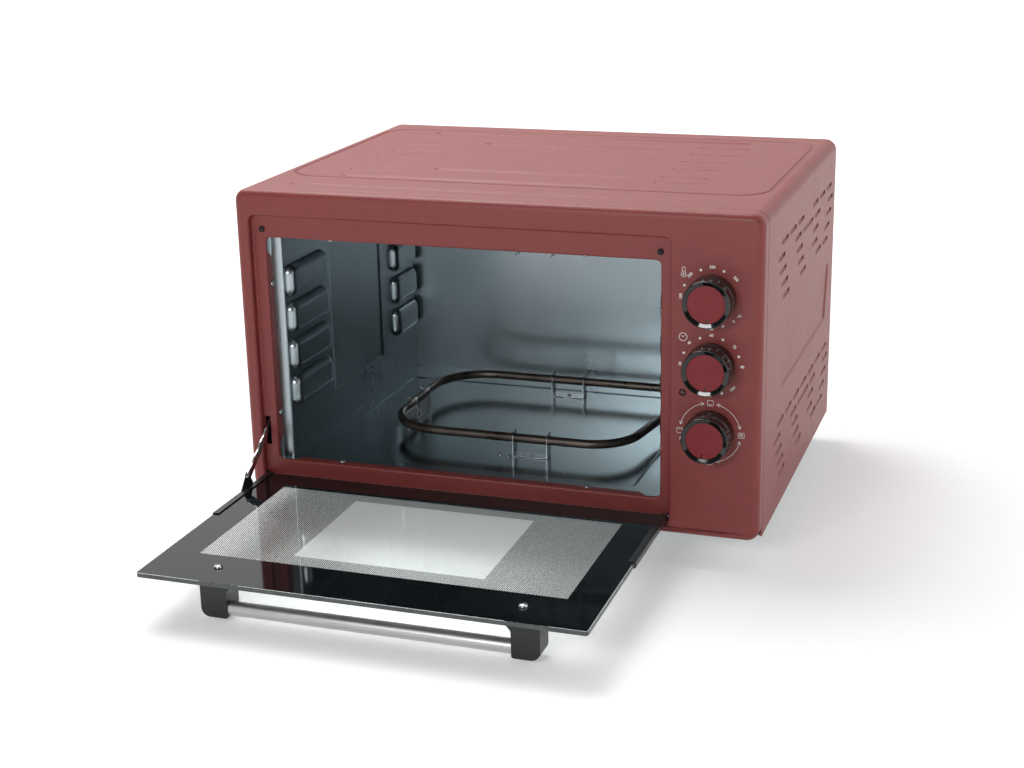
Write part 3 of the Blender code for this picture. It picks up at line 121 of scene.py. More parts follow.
def settle(thing):
    """Turns a piece with its modifiers into a plain mesh."""
    graph = bpy.context.evaluated_depsgraph_get()
    plain = bpy.data.meshes.new_from_object(thing.evaluated_get(graph), depsgraph=graph)
    if thing.type == "MESH":
        thing.modifiers.clear()
        thing.data = plain
        return thing
    made = bpy.data.objects.new(thing.name, plain)
    bpy.context.scene.collection.objects.link(made)
    bpy.data.objects.remove(thing)
    return made


def set_down(thing, body, finish, stands_for=(), sharp=35):
    """Brings a finished piece to its place in the frame and lets it ride on its body."""
    if finish:
        thing.data.materials.clear()
        thing.data.materials.append(finish)
    thing = settle(thing)
    thing.data.transform(TO_FRAME)
    thing.data.shade_smooth()
    thing.data.set_sharp_from_angle(angle=math.radians(sharp))
    normals = thing.modifiers.new("flat_faces_lead", "WEIGHTED_NORMAL")
    normals.keep_sharp = True
    settle(thing)
    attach(thing, body)
    if stands_for:
        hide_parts(*stands_for)
    return thing


def soften(thing, width, segments=3, angle=40):
    """Rounds the sharp edges of a piece."""
    edge = thing.modifiers.new("soft_edges", "BEVEL")
    edge.width = width
    edge.segments = segments
    edge.limit_method = "ANGLE"
    edge.angle_limit = math.radians(angle)
    return thing


def thicken(thing, thickness):
    """Turns a skin into sheet metal, inwards from its face."""
    sheet = thing.modifiers.new("sheet_thickness", "SOLIDIFY")
    sheet.thickness = thickness
    sheet.offset = -1
    sheet.use_even_offset = True
    return thing


def cut(thing, mesh, name="cutter"):
    """Cuts a closed mesh out of a piece at once."""
    bmesh.ops.recalc_face_normals(mesh, faces=mesh.faces)
    cutter = new_object(name, mesh)
    change = thing.modifiers.new(name, "BOOLEAN")
    change.operation = "DIFFERENCE"
    change.solver = "MANIFOLD"
    change.object = cutter
    settle(thing)
    bpy.data.objects.remove(cutter)
    return thing


def add_box(mesh, low, high):
    """Adds a box between two corners to a mesh."""
    low = Vector(low)
    size = Vector(high) - low
    place = Matrix.Translation(low + size / 2) @ Matrix.Diagonal((*size, 1.0))
    bmesh.ops.create_cube(mesh, size=1.0, matrix=place)
    return mesh


def filleted(corners, closed=False, steps=5):
    """A flat line whose corners, given as (u, v) or (u, v, radius), are rounded by arcs."""
    points = []
    count = len(corners)
    for k, corner in enumerate(corners):
        here = Vector(corner[:2])
        radius = corner[2] if len(corner) > 2 else 0
        if not radius or (not closed and k in (0, count - 1)):
            points.append(here)
            continue
        inward = (Vector(corners[k - 1][:2]) - here).normalized()
        outward = (Vector(corners[(k + 1) % count][:2]) - here).normalized()
        half = inward.angle(outward) / 2
        middle = here + (inward + outward).normalized() * (radius / math.sin(half))
        start = here + inward * (radius / math.tan(half)) - middle
        sweep = start.angle_signed(here + outward * (radius / math.tan(half)) - middle)
        for step in range(steps + 1):
            points.append(middle + Matrix.Rotation(-sweep * step / steps, 2) @ start)
    return points


def inset_loop(corners, inset, radius, steps=6):
    """A convex outline, counter-clockwise, moved inwards with its corners rounded."""
    moved = []
    count = len(corners)
    for k in range(count):
        before, here, after = (Vector(corners[(k + j) % count]) for j in (-1, 0, 1))
        first = (here - before).normalized()
        second = (after - here).normalized()
        turn = first.cross(second)
        along = (1 - first.dot(second)) / turn
        normal = Vector((-first.y, first.x))
        moved.append(here + normal * inset + first * (-inset * along))
    radius = max(radius - inset, 0.3)
    return filleted([(*p, radius) for p in moved], True, steps)


def rectangle(left, right, low, high):
    """The four corners of a rectangle, counter-clockwise."""
    return [(left, low), (right, low), (right, high), (left, high)]


def bridge(mesh, rows, closed_rows=True, ring=False, caps=False):
    """Joins rows of vertices by quads."""
    pairs = list(zip(rows, rows[1:])) + ([(rows[-1], rows[0])] if ring else [])
    for near, far in pairs:
        count = len(near)
        for k in range(count if closed_rows else count - 1):
            after = (k + 1) % count
            mesh.faces.new((near[k], far[k], far[after], near[after]))
    if caps:
        mesh.faces.new(rows[0])
        mesh.faces.new(rows[-1][::-1])
    return mesh


def prism(outline, axis, start, end):
    """A flat outline pushed along x, y or z. The outline gives the other two in order."""
    places = {
        "x": lambda p, s: (s, p[0], p[1]),
        "y": lambda p, s: (p[0], s, p[1]),
        "z": lambda p, s: (p[0], p[1], s),
    }
    mesh = bmesh.new()
    rows = [[mesh.verts.new(places[axis](p, s)) for p in outline] for s in (start, end)]
    bridge(mesh, rows, caps=True)
    bmesh.ops.recalc_face_normals(mesh, faces=mesh.faces)
    return mesh


def turned(profile, place, facets=64):
    """A profile of (along, radius) turned about an axis and closed."""
    mesh = bmesh.new()
    rows = []
    for along, radius in profile:
        if radius < 1e-6:
            rows.append([mesh.verts.new(place(along, 0, 0))])
            continue
        turns = [math.tau * k / facets for k in range(facets)]
        rows.append([mesh.verts.new(place(along, radius * math.cos(a), radius * math.sin(a))) for a in turns])
    pairs = list(zip(rows, rows[1:]))
    if len(rows[0]) > 1:
        pairs.append((rows[-1], rows[0]))
    for near, far in pairs:
        for k in range(facets):
            after = (k + 1) % facets
            corners = [near[k % len(near)], near[after % len(near)], far[after % len(far)], far[k % len(far)]]
            mesh.faces.new(list(dict.fromkeys(corners)))
    bmesh.ops.recalc_face_normals(mesh, faces=mesh.faces)
    return mesh


def rod(start, end, radius, place, facets):
    """A plain round bar between two places on an axis, also used as a drill."""
    return turned([(start, 0), (start, radius), (end, radius), (end, 0)], place, facets)


def along_x(y, z):
    """Places for turned(): an axis that runs left to right."""
    return lambda along, across, up: (along, y + across, z + up)


def along_y(x, z):
    """Places for turned(): an axis that runs front to back."""
    return lambda along, across, up: (x + across, along, z + up)


def along_z(x, y):
    """Places for turned(): an upright axis."""
    return lambda along, across, up: (x + across, y + up, along)


def join_mesh(mesh, other):
    """Adds a second mesh's faces to a first and frees the second."""
    data = bpy.data.meshes.new("joined")
    other.to_mesh(data)
    other.free()
    mesh.from_mesh(data)
    bpy.data.meshes.remove(data)
    return mesh


def swept(points, radius, sides=20):
    """A round tube along a line of points, with its ends closed."""
    points = [Vector(p) for p in points]
    mesh = bmesh.new()
    rows = []
    across = None
    for k, point in enumerate(points):
        ahead = (points[min(k + 1, len(points) - 1)] - points[max(k - 1, 0)]).normalized()
        if across is None:
            across = ahead.orthogonal().normalized()
        across = (across - ahead * across.dot(ahead)).normalized()
        up = ahead.cross(across)
        turns = [math.tau * j / sides for j in range(sides)]
        rows.append([mesh.verts.new(point + (across * math.cos(a) + up * math.sin(a)) * radius) for a in turns])
    bridge(mesh, rows, caps=True)
    bmesh.ops.recalc_face_normals(mesh, faces=mesh.faces)
    return mesh


def pressing(corners, radius, depth, run, rows=4, inset=0.0, pillow=False):
    """Loops of one pressed form, from its rim to its flat, each with its height."""
    loops = [(inset_loop(corners, inset - 0.7, radius), 0.0)]
    for k in range(rows + 1):
        share = k / rows
        if pillow:
            along = 1 - math.cos(share * math.pi / 2)
            high = math.sin(share * math.pi / 2)
        else:
            along = share
            high = share * share * (3 - 2 * share)
        loops.append((inset_loop(corners, inset + run * along, radius), depth * high))
    return loops


def pressed_sheet(name, size, loops, holes, to_space, lines_u=(), lines_v=(), rim=None, flip=False):
    """A flat blank, pressed and pierced, wrapped into space as one skin."""
    points = []
    heights = []
    edges = []

    def add_loop(loop, height):
        first = len(points)
        count = len(loop)
        points.extend(Vector(p[:2]) for p in loop)
        heights.extend([height] * count)
        edges.extend((first + k, first + (k + 1) % count) for k in range(count))

    left, right, low, high = size
    add_loop(rectangle(*size), 0.0)
    for u in lines_u:
        edges.append((len(points), len(points) + 1))
        points.extend((Vector((u, low)), Vector((u, high))))
        heights.extend((0.0, 0.0))
    for v in lines_v:
        edges.append((len(points), len(points) + 1))
        points.extend((Vector((left, v)), Vector((right, v))))
        heights.extend((0.0, 0.0))
    for loop, height in loops:
        add_loop(loop, height)
    for hole in holes:
        add_loop(inset_loop(rectangle(*hole), 0, 0.8, 2), 0.0)
    flat, _edges, faces, origin, _oe, _of = delaunay_2d_cdt(points, edges, [], 0, 1e-4)
    mesh = bmesh.new()
    spots = []
    for k, spot in enumerate(flat):
        height = heights[origin[k][0]] if origin[k] else 0.0
        if rim:
            height += rim(spot.x, spot.y)
        spots.append(mesh.verts.new(to_space(spot.x, spot.y, height)))
    for face in faces:
        centre = sum((flat[k] for k in face), Vector((0, 0))) / len(face)
        if any(a < centre.x < b and c < centre.y < d for a, b, c, d in holes):
            continue
        corners = [spots[k] for k in face]
        mesh.faces.new(corners[::-1] if flip else corners)
    loose = [v for v in mesh.verts if not v.link_faces]
    bmesh.ops.delete(mesh, geom=loose, context="VERTS")
    return new_object(name, mesh)


# ---- Node trees

def put(tree, kind, feeds=None, **settings):
    """Adds a node with its settings, values and links."""
    node = tree.nodes.new(kind)
    for key, value in settings.items():
        setattr(node, key, value)
    for key, value in (feeds or {}).items():
        if isinstance(value, bpy.types.NodeSocket):
            tree.links.new(value, node.inputs[key])
        else:
            node.inputs[key].default_value = value
    return node


def new_tree(name, kind, inputs, outputs):
    """A node group with named sockets, and its input and output nodes."""
    tree = bpy.data.node_groups.new(name, kind)
    for label, socket, value in inputs:
        made = tree.interface.new_socket(label, in_out="INPUT", socket_type=socket)
        if value is not None:
            made.default_value = value
    for label, socket in outputs:
        tree.interface.new_socket(label, in_out="OUTPUT", socket_type=socket)
    return tree, tree.nodes.new("NodeGroupInput"), tree.nodes.new("NodeGroupOutput")


def hand_out(tree, out, placed, finish):
    """Ends a geometry tree: the instances made real, with their finish."""
    real = put(tree, "GeometryNodeRealizeInstances", {0: placed.outputs[0]})
    dressed = put(tree, "GeometryNodeSetMaterial", {"Geometry": real.outputs[0], "Material": finish})
    tree.links.new(dressed.outputs[0], out.inputs[0])
    return tree


def run_tree(thing, tree, **values):
    """Runs a geometry tree on a piece, with its inputs set by the sockets' identifiers."""
    change = thing.modifiers.new(tree.name, "NODES")
    change.node_group = tree
    sockets = [item for item in tree.interface.items_tree if item.item_type == "SOCKET"]
    names = {socket.name: socket.identifier for socket in sockets if socket.in_out == "INPUT"}
    for label, value in values.items():
        change[names[label]] = value
    return settle(thing)


FLOAT = "NodeSocketFloat"
VECTOR = "NodeSocketVector"
GEOMETRY = "NodeSocketGeometry"


def make_orange_peel():
    """The fine skin of a powder coat or a moulded plastic: a height and a mottle."""
    tree, given, out = new_tree(
        "orange_peel", "ShaderNodeTree",
        [("Coordinates", VECTOR, None), ("Grain per metre", FLOAT, 1500.0), ("Mottle per metre", FLOAT, 60.0)],
        [("Height", FLOAT), ("Mottle", FLOAT)],
    )
    place = given.outputs["Coordinates"]
    grain = put(tree, "ShaderNodeTexNoise", {
        "Vector": place, "Scale": given.outputs["Grain per metre"], "Detail": 2.0, "Roughness": 0.6})
    half = put(tree, "ShaderNodeMath", {0: given.outputs["Grain per metre"], 1: 0.31}, operation="MULTIPLY")
    wave = put(tree, "ShaderNodeTexNoise", {"Vector": place, "Scale": half.outputs[0], "Detail": 1.0})
    height = put(tree, "ShaderNodeMath", {0: wave.outputs["Fac"], 1: 1.6, 2: grain.outputs["Fac"]},
                 operation="MULTIPLY_ADD")
    mottle = put(tree, "ShaderNodeTexNoise", {
        "Vector": place, "Scale": given.outputs["Mottle per metre"], "Detail": 5.0, "Roughness": 0.65})
    spread = put(tree, "ShaderNodeMapRange", {
        "Value": mottle.outputs["Fac"], "From Min": 0.3, "From Max": 0.7, "To Min": 0.0, "To Max": 1.0})
    tree.links.new(height.outputs[0], out.inputs["Height"])
    tree.links.new(spread.outputs["Result"], out.inputs["Mottle"])
    return tree


def make_rolled_sheet():
    """Drawn lines and cloudy patches of rolled sheet metal."""
    tree, given, out = new_tree(
        "rolled_sheet", "ShaderNodeTree",
        [("Coordinates", VECTOR, None), ("Stretch", VECTOR, (1.0, 1.0, 1.0)), ("Lines per metre", FLOAT, 900.0),
         ("Clouds per metre", FLOAT, 18.0)],
        [("Lines", FLOAT), ("Clouds", FLOAT), ("Waves", FLOAT)],
    )
    drawn = put(tree, "ShaderNodeVectorMath", {0: given.outputs["Coordinates"], 1: given.outputs["Stretch"]},
                operation="MULTIPLY")
    lines = put(tree, "ShaderNodeTexNoise", {
        "Vector": drawn.outputs[0], "Scale": given.outputs["Lines per metre"], "Detail": 3.0, "Roughness": 0.7})
    clouds = put(tree, "ShaderNodeTexNoise", {
        "Vector": given.outputs["Coordinates"], "Scale": given.outputs["Clouds per metre"], "Detail": 3.0,
        "Roughness": 0.5})
    spread = put(tree, "ShaderNodeMapRange", {
        "Value": clouds.outputs["Fac"], "From Min": 0.32, "From Max": 0.68, "To Min": 0.0, "To Max": 1.0})
    slow = put(tree, "ShaderNodeMath", {0: given.outputs["Clouds per metre"], 1: 0.5}, operation="MULTIPLY")
    waves = put(tree, "ShaderNodeTexNoise", {
        "Vector": given.outputs["Coordinates"], "Scale": slow.outputs[0], "Detail": 1.0})
    tree.links.new(lines.outputs["Fac"], out.inputs["Lines"])
    tree.links.new(spread.outputs["Result"], out.inputs["Clouds"])
    tree.links.new(waves.outputs["Fac"], out.inputs["Waves"])
    return tree


def make_handling_marks():
    """Thin smears and specks left by handling: 0 where clean, 1 on a mark."""
    tree, given, out = new_tree(
        "handling_marks", "ShaderNodeTree",
        [("Coordinates", VECTOR, None), ("Smears per metre", FLOAT, 25.0), ("Specks per metre", FLOAT, 380.0)],
        [("Smears", FLOAT), ("Specks", FLOAT)],
    )
    smear = put(tree, "ShaderNodeTexNoise", {
        "Vector": given.outputs["Coordinates"], "Scale": given.outputs["Smears per metre"], "Detail": 8.0,
        "Roughness": 0.7, "Distortion": 1.2})
    held = put(tree, "ShaderNodeMapRange", {
        "Value": smear.outputs["Fac"], "From Min": 0.52, "From Max": 0.75, "To Min": 0.0, "To Max": 1.0})
    speck = put(tree, "ShaderNodeTexVoronoi", {
        "Vector": given.outputs["Coordinates"], "Scale": given.outputs["Specks per metre"]})
    dots = put(tree, "ShaderNodeMapRange", {
        "Value": speck.outputs["Distance"], "From Min": 0.05, "From Max": 0.10, "To Min": 1.0, "To Max": 0.0})
    tree.links.new(held.outputs["Result"], out.inputs["Smears"])
    tree.links.new(dots.outputs["Result"], out.inputs["Specks"])
    return tree


ORANGE_PEEL = make_orange_peel()
ROLLED_SHEET = make_rolled_sheet()
HANDLING_MARKS = make_handling_marks()


class Finish:
    """A material under construction: its tree, its shader and its object coordinates."""

    def __init__(self, name, **sockets):
        self.material = bpy.data.materials.new(name)
        self.material.use_nodes = True
        self.tree = self.material.node_tree
        self.shader = self.tree.nodes["Principled BSDF"]
        for label, value in sockets.items():
            self.shader.inputs[label.replace("_", " ")].default_value = value
        self.place = put(self.tree, "ShaderNodeTexCoord").outputs["Object"]

    def put(self, kind, feeds=None, **settings):
        return put(self.tree, kind, feeds, **settings)

    def group(self, tree, **values):
        feeds = {label.replace("_", " "): value for label, value in values.items()}
        return self.put("ShaderNodeGroup", {"Coordinates": self.place, **feeds}, node_tree=tree)

    def blend(self, share, first, second):
        """A colour between two, by a share that changes over the surface."""
        mix = self.put("ShaderNodeMix", {0: share, 6: (*first, 1.0), 7: (*second, 1.0)}, data_type="RGBA")
        return mix.outputs[2]

    def between(self, share, low, high):
        return self.put("ShaderNodeMapRange", {"Value": share, "To Min": low, "To Max": high}).outputs["Result"]

    def feed(self, label, socket):
        self.tree.links.new(socket, self.shader.inputs[label])

    def bump(self, height, strength, distance):
        made = self.put("ShaderNodeBump", {"Height": height, "Strength": strength, "Distance": distance})
        self.feed("Normal", made.outputs["Normal"])


def painted(name, deep, pale, roughness, grain=1500.0, lift=0.00006):
    """A powder coat, plastic or ink with a fine skin."""
    made = Finish(name)
    peel = made.group(ORANGE_PEEL, Grain_per_metre=grain)
    marks = made.group(HANDLING_MARKS)
    made.feed("Base Color", made.blend(peel.outputs["Mottle"], deep, pale))
    base = made.between(peel.outputs["Mottle"], roughness - 0.03, roughness + 0.03)
    rough = made.put("ShaderNodeMath", {0: marks.outputs["Smears"], 1: 0.04, 2: base}, operation="MULTIPLY_ADD")
    made.feed("Roughness", rough.outputs[0])
    made.bump(peel.outputs["Height"], 0.6, lift)
    return made


def metal(name, dark, light, low, high, stretch=(1.0, 1.0, 1.0), lines=900.0, clouds=18.0, lift=0.00001):
    """A metal sheet, plate or tube with drawn lines."""
    made = Finish(name, Metallic=1.0)
    rolled = made.group(ROLLED_SHEET, Stretch=stretch, Lines_per_metre=lines, Clouds_per_metre=clouds)
    marks = made.group(HANDLING_MARKS)
    made.feed("Base Color", made.blend(rolled.outputs["Clouds"], dark, light))
    base = made.between(rolled.outputs["Clouds"], low, high)
    rough = made.put("ShaderNodeMath", {0: marks.outputs["Smears"], 1: 0.012, 2: base}, operation="MULTIPLY_ADD")
    made.feed("Roughness", rough.outputs[0])
    made.bump(rolled.outputs["Lines"], 0.5, lift)
    return made


def make_finishes():
    """Every finish of the oven by its short name."""
    burgundy = painted("burgundy_powder_coat", (0.230, 0.038, 0.034), (0.262, 0.045, 0.040), 0.46)
    zinc = metal("galvanised_sheet", (0.33, 0.385, 0.41), (0.37, 0.425, 0.45), 0.27, 0.31,
                 stretch=(0.05, 0.05, 1.0), lines=500.0, clouds=9.0, lift=0.000004)
    floor_zinc = metal("galvanised_floor", (0.27, 0.315, 0.33), (0.31, 0.355, 0.37), 0.17, 0.20,
                       stretch=(1.0, 0.04, 1.0), lines=500.0, clouds=7.0, lift=0.000003)
    bright = metal("bright_zinc_plate", (0.46, 0.48, 0.50), (0.56, 0.58, 0.60), 0.20, 0.28, lines=1500.0)
    tube = metal("oxidised_heater_tube", (0.070, 0.058, 0.050), (0.13, 0.105, 0.09), 0.26, 0.42,
                 clouds=60.0, lines=1200.0)
    tube.shader.inputs["Metallic"].default_value = 0.75
    bar = metal("satin_aluminium", (0.60, 0.60, 0.59), (0.64, 0.64, 0.63), 0.40, 0.46,
                stretch=(0.02, 1.0, 1.0), lines=2600.0, clouds=30.0, lift=0.000004)
    coated = painted("black_coated_steel", (0.008, 0.008, 0.009), (0.014, 0.014, 0.016), 0.30, grain=2200.0)
    moulded = painted("satin_black_moulding", (0.012, 0.012, 0.013), (0.020, 0.020, 0.022), 0.40, grain=3000.0,
                      lift=0.00003)
    gloss = painted("gloss_black_moulding", (0.003, 0.003, 0.003), (0.005, 0.005, 0.005), 0.08, grain=900.0,
                    lift=0.000001)
    disc = painted("deep_red_disc", (0.215, 0.018, 0.024), (0.240, 0.023, 0.029), 0.42, grain=4000.0, lift=0.00001)
    disc.shader.inputs["Specular IOR Level"].default_value = 0.3
    lens = painted("dark_red_lens", (0.050, 0.010, 0.011), (0.085, 0.020, 0.021), 0.12, grain=900.0, lift=0.000004)
    rubber = painted("black_rubber", (0.006, 0.006, 0.006), (0.013, 0.013, 0.013), 0.72, grain=2600.0)
    pale = painted("pale_switch_plastic", (0.42, 0.41, 0.38), (0.52, 0.51, 0.48), 0.42, grain=2200.0)
    ceramic = painted("white_ceramic", (0.55, 0.54, 0.50), (0.70, 0.69, 0.65), 0.5, grain=1800.0)
    ink = painted("white_ink", (0.90, 0.88, 0.86), (0.96, 0.94, 0.92), 0.5, grain=3500.0, lift=0.00001)
    enamel = make_printed_enamel()
    pane = make_clear_glass()
    ground = painted("ground_glass_edge", (0.045, 0.055, 0.055), (0.09, 0.105, 0.105), 0.35, grain=4000.0)
    return {
        "paint": burgundy, "zinc": zinc, "floor_zinc": floor_zinc, "bright": bright, "tube": tube, "bar": bar,
        "coated": coated, "moulded": moulded, "gloss": gloss, "disc": disc, "lens": lens, "rubber": rubber,
        "pale": pale, "ceramic": ceramic, "ink": ink, "enamel": enamel, "pane": pane, "ground": ground,
    }


def make_clear_glass():
    """The pane's glass, which lets lamp light through in its shadow."""
    made = Finish("clear_glass", Transmission_Weight=1.0, IOR=1.5)
    marks = made.group(HANDLING_MARKS, Smears_per_metre=12.0)
    made.feed("Base Color", made.blend(marks.outputs["Specks"], (0.93, 0.96, 0.95), (0.85, 0.88, 0.87)))
    made.feed("Roughness", made.between(marks.outputs["Smears"], 0.0, 0.03))
    path = made.put("ShaderNodeLightPath")
    through = made.put("ShaderNodeBsdfTransparent", {"Color": (0.88, 0.92, 0.90, 1.0)})
    mix = made.put("ShaderNodeMixShader", {
        0: path.outputs["Is Shadow Ray"], 1: made.shader.outputs[0], 2: through.outputs[0]})
    made.tree.links.new(mix.outputs[0], made.tree.nodes["Material Output"].inputs["Surface"])
    return made


def make_printed_enamel():
    """Black enamel on the pane: a solid border, a dot screen inside it and a clear window."""
    made = Finish("printed_black_enamel")
    put_in = made.put
    marks = made.group(HANDLING_MARKS, Smears_per_metre=14.0)
    made.feed("Base Color", made.blend(marks.outputs["Specks"], (0.004, 0.005, 0.006), (0.02, 0.022, 0.024)))
    made.feed("Roughness", made.between(marks.outputs["Smears"], 0.05, 0.13))
    turned_place = put_in("ShaderNodeMapping", {"Vector": made.place, "Rotation": (0.0, 0.0, math.radians(45)),
                                                "Scale": (588.0, 588.0, 588.0)})
    cell = put_in("ShaderNodeVectorMath", {0: turned_place.outputs[0]}, operation="FRACTION")
    flat = put_in("ShaderNodeVectorMath", {0: cell.outputs[0], 1: (1.0, 1.0, 0.0)}, operation="MULTIPLY")
    off = put_in("ShaderNodeVectorMath", {0: flat.outputs[0], 1: (0.5, 0.5, 0.0)}, operation="DISTANCE")
    dot = put_in("ShaderNodeMath", {0: off.outputs["Value"], 1: 0.385}, operation="LESS_THAN")
    split = put_in("ShaderNodeSeparateXYZ", {0: made.place})

    def inside(left, right, low, high):
        """1 within a rectangle of the pane, in metres, and 0 outside."""
        shares = []
        for socket, a, b in ((split.outputs[0], left, right), (split.outputs[1], low, high)):
            middle = (a + b) / 2
            half = (b - a) / 2
            shares.append(put_in("ShaderNodeMath", {0: socket, 1: middle, 2: half}, operation="COMPARE").outputs[0])
        return put_in("ShaderNodeMath", {0: shares[0], 1: shares[1]}, operation="MULTIPLY").outputs[0]

    screen = inside(-0.210, 0.138, FRONT - 0.201, FRONT - 0.030)
    window = inside(-0.125, 0.057, FRONT - 0.183, FRONT - 0.045)
    bare = put_in("ShaderNodeMath", {0: 1.0, 1: dot.outputs[0]}, operation="SUBTRACT")
    see_dots = put_in("ShaderNodeMath", {0: bare.outputs[0], 1: screen}, operation="MULTIPLY")
    see = put_in("ShaderNodeMath", {0: see_dots.outputs[0], 1: window}, operation="MAXIMUM")
    cover = put_in("ShaderNodeMath", {0: 1.0, 1: see.outputs[0]}, operation="SUBTRACT")
    made.feed("Alpha", cover.outputs[0])
    return made


FINISH = {name: made.material for name, made in make_finishes().items()}


# ---- Geometry trees for what repeats

def make_louvre_tree():
    """Scoops pushed in behind a row of slots: closed at the ends and below, open above."""
    tree, given, out = new_tree(
        "scooped_louvres", "GeometryNodeTree",
        [("Geometry", GEOMETRY, None), ("Length", FLOAT, 13.0), ("Height", FLOAT, 6.0), ("Depth", FLOAT, 4.5),
         ("End run", FLOAT, 0.6), ("Thickness", FLOAT, 0.7), ("Finish", "NodeSocketMaterial", None)],
        [("Geometry", GEOMETRY)],
    )
    side = given.outputs
    grid = put(tree, "GeometryNodeMeshGrid", {
        "Size X": side["Length"], "Size Y": side["Height"], "Vertices X": 41, "Vertices Y": 4})
    spot = put(tree, "ShaderNodeSeparateXYZ", {0: put(tree, "GeometryNodeInputPosition").outputs[0]})
    rise_low = put(tree, "ShaderNodeMath", {0: side["Height"], 1: -0.5}, operation="MULTIPLY")
    rise_high = put(tree, "ShaderNodeMath", {0: side["Height"], 1: 0.5}, operation="MULTIPLY")
    rise = put(tree, "ShaderNodeMapRange", {
        "Value": spot.outputs[1], "From Min": rise_low.outputs[0], "From Max": rise_high.outputs[0]},
        interpolation_type="LINEAR")
    reach = put(tree, "ShaderNodeMath", {0: spot.outputs[0]}, operation="ABSOLUTE")
    end = put(tree, "ShaderNodeMath", {0: side["Length"], 1: 0.5}, operation="MULTIPLY")
    start = put(tree, "ShaderNodeMath", {0: end.outputs[0], 1: side["End run"]}, operation="SUBTRACT")
    fade = put(tree, "ShaderNodeMapRange", {
        "Value": reach.outputs[0], "From Min": start.outputs[0], "From Max": end.outputs[0], "To Min": 1.0,
        "To Max": 0.0}, interpolation_type="SMOOTHSTEP")
    both = put(tree, "ShaderNodeMath", {0: rise.outputs["Result"], 1: fade.outputs["Result"]}, operation="MULTIPLY")
    sink = put(tree, "ShaderNodeMath", {0: side["Depth"], 1: both.outputs[0]}, operation="MULTIPLY")
    sunk = put(tree, "ShaderNodeMath", {0: sink.outputs[0], 1: -1.0, 2: -0.25}, operation="MULTIPLY_ADD")
    offset = put(tree, "ShaderNodeCombineXYZ", {2: sunk.outputs[0]})
    scoop = put(tree, "GeometryNodeSetPosition", {"Geometry": grid.outputs["Mesh"], "Offset": offset.outputs[0]})
    turned_over = put(tree, "GeometryNodeFlipFaces", {"Mesh": scoop.outputs[0]})
    back = put(tree, "GeometryNodeExtrudeMesh", {
        "Mesh": turned_over.outputs[0], "Offset Scale": side["Thickness"], "Individual": False})
    both_skins = put(tree, "GeometryNodeJoinGeometry")
    tree.links.new(back.outputs["Mesh"], both_skins.inputs[0])
    tree.links.new(scoop.outputs[0], both_skins.inputs[0])
    whole = put(tree, "GeometryNodeMergeByDistance", {"Geometry": both_skins.outputs[0], "Distance": 0.001})
    facing = put(tree, "GeometryNodeInputNamedAttribute", {"Name": "facing"}, data_type="FLOAT_VECTOR")
    lean = put(tree, "FunctionNodeAlignRotationToVector", {"Vector": facing.outputs[0]}, axis="Z", pivot_axis="AUTO")
    upright = put(tree, "GeometryNodeInputNamedAttribute", {"Name": "up"}, data_type="FLOAT_VECTOR")
    stand = put(tree, "FunctionNodeAlignRotationToVector", {
        "Rotation": lean.outputs[0], "Vector": upright.outputs[0]}, axis="Y", pivot_axis="Z")
    placed = put(tree, "GeometryNodeInstanceOnPoints", {
        "Points": side["Geometry"], "Instance": whole.outputs[0], "Rotation": stand.outputs[0]})
    return hand_out(tree, out, placed, side["Finish"])


def make_fixing_tree():
    """One fixing, such as a screw, set at each point and turned to face out of the sheet."""
    tree, given, out = new_tree(
        "set_fixings", "GeometryNodeTree",
        [("Geometry", GEOMETRY, None), ("Fixing", "NodeSocketObject", None), ("Size", FLOAT, 1.0),
         ("Turn seed", "NodeSocketInt", 3), ("Finish", "NodeSocketMaterial", None)],
        [("Geometry", GEOMETRY)],
    )
    side = given.outputs
    part = put(tree, "GeometryNodeObjectInfo", {"Object": side["Fixing"]})
    facing = put(tree, "GeometryNodeInputNamedAttribute", {"Name": "facing"}, data_type="FLOAT_VECTOR")
    lean = put(tree, "FunctionNodeAlignRotationToVector", {"Vector": facing.outputs[0]}, axis="Z", pivot_axis="AUTO")
    drive = put(tree, "FunctionNodeRandomValue", {"Seed": side["Turn seed"]}, data_type="FLOAT")
    drive.inputs[2].default_value = 0.0
    drive.inputs[3].default_value = 1.5
    spin = put(tree, "FunctionNodeAxisAngleToRotation", {"Axis": (0.0, 0.0, 1.0), "Angle": drive.outputs[1]})
    stand = put(tree, "FunctionNodeRotateRotation", {0: lean.outputs[0], 1: spin.outputs[0]}, rotation_space="LOCAL")
    placed = put(tree, "GeometryNodeInstanceOnPoints", {
        "Points": side["Geometry"], "Instance": part.outputs["Geometry"], "Rotation": stand.outputs[0],
        "Scale": side["Size"]})
    return hand_out(tree, out, placed, side["Finish"])


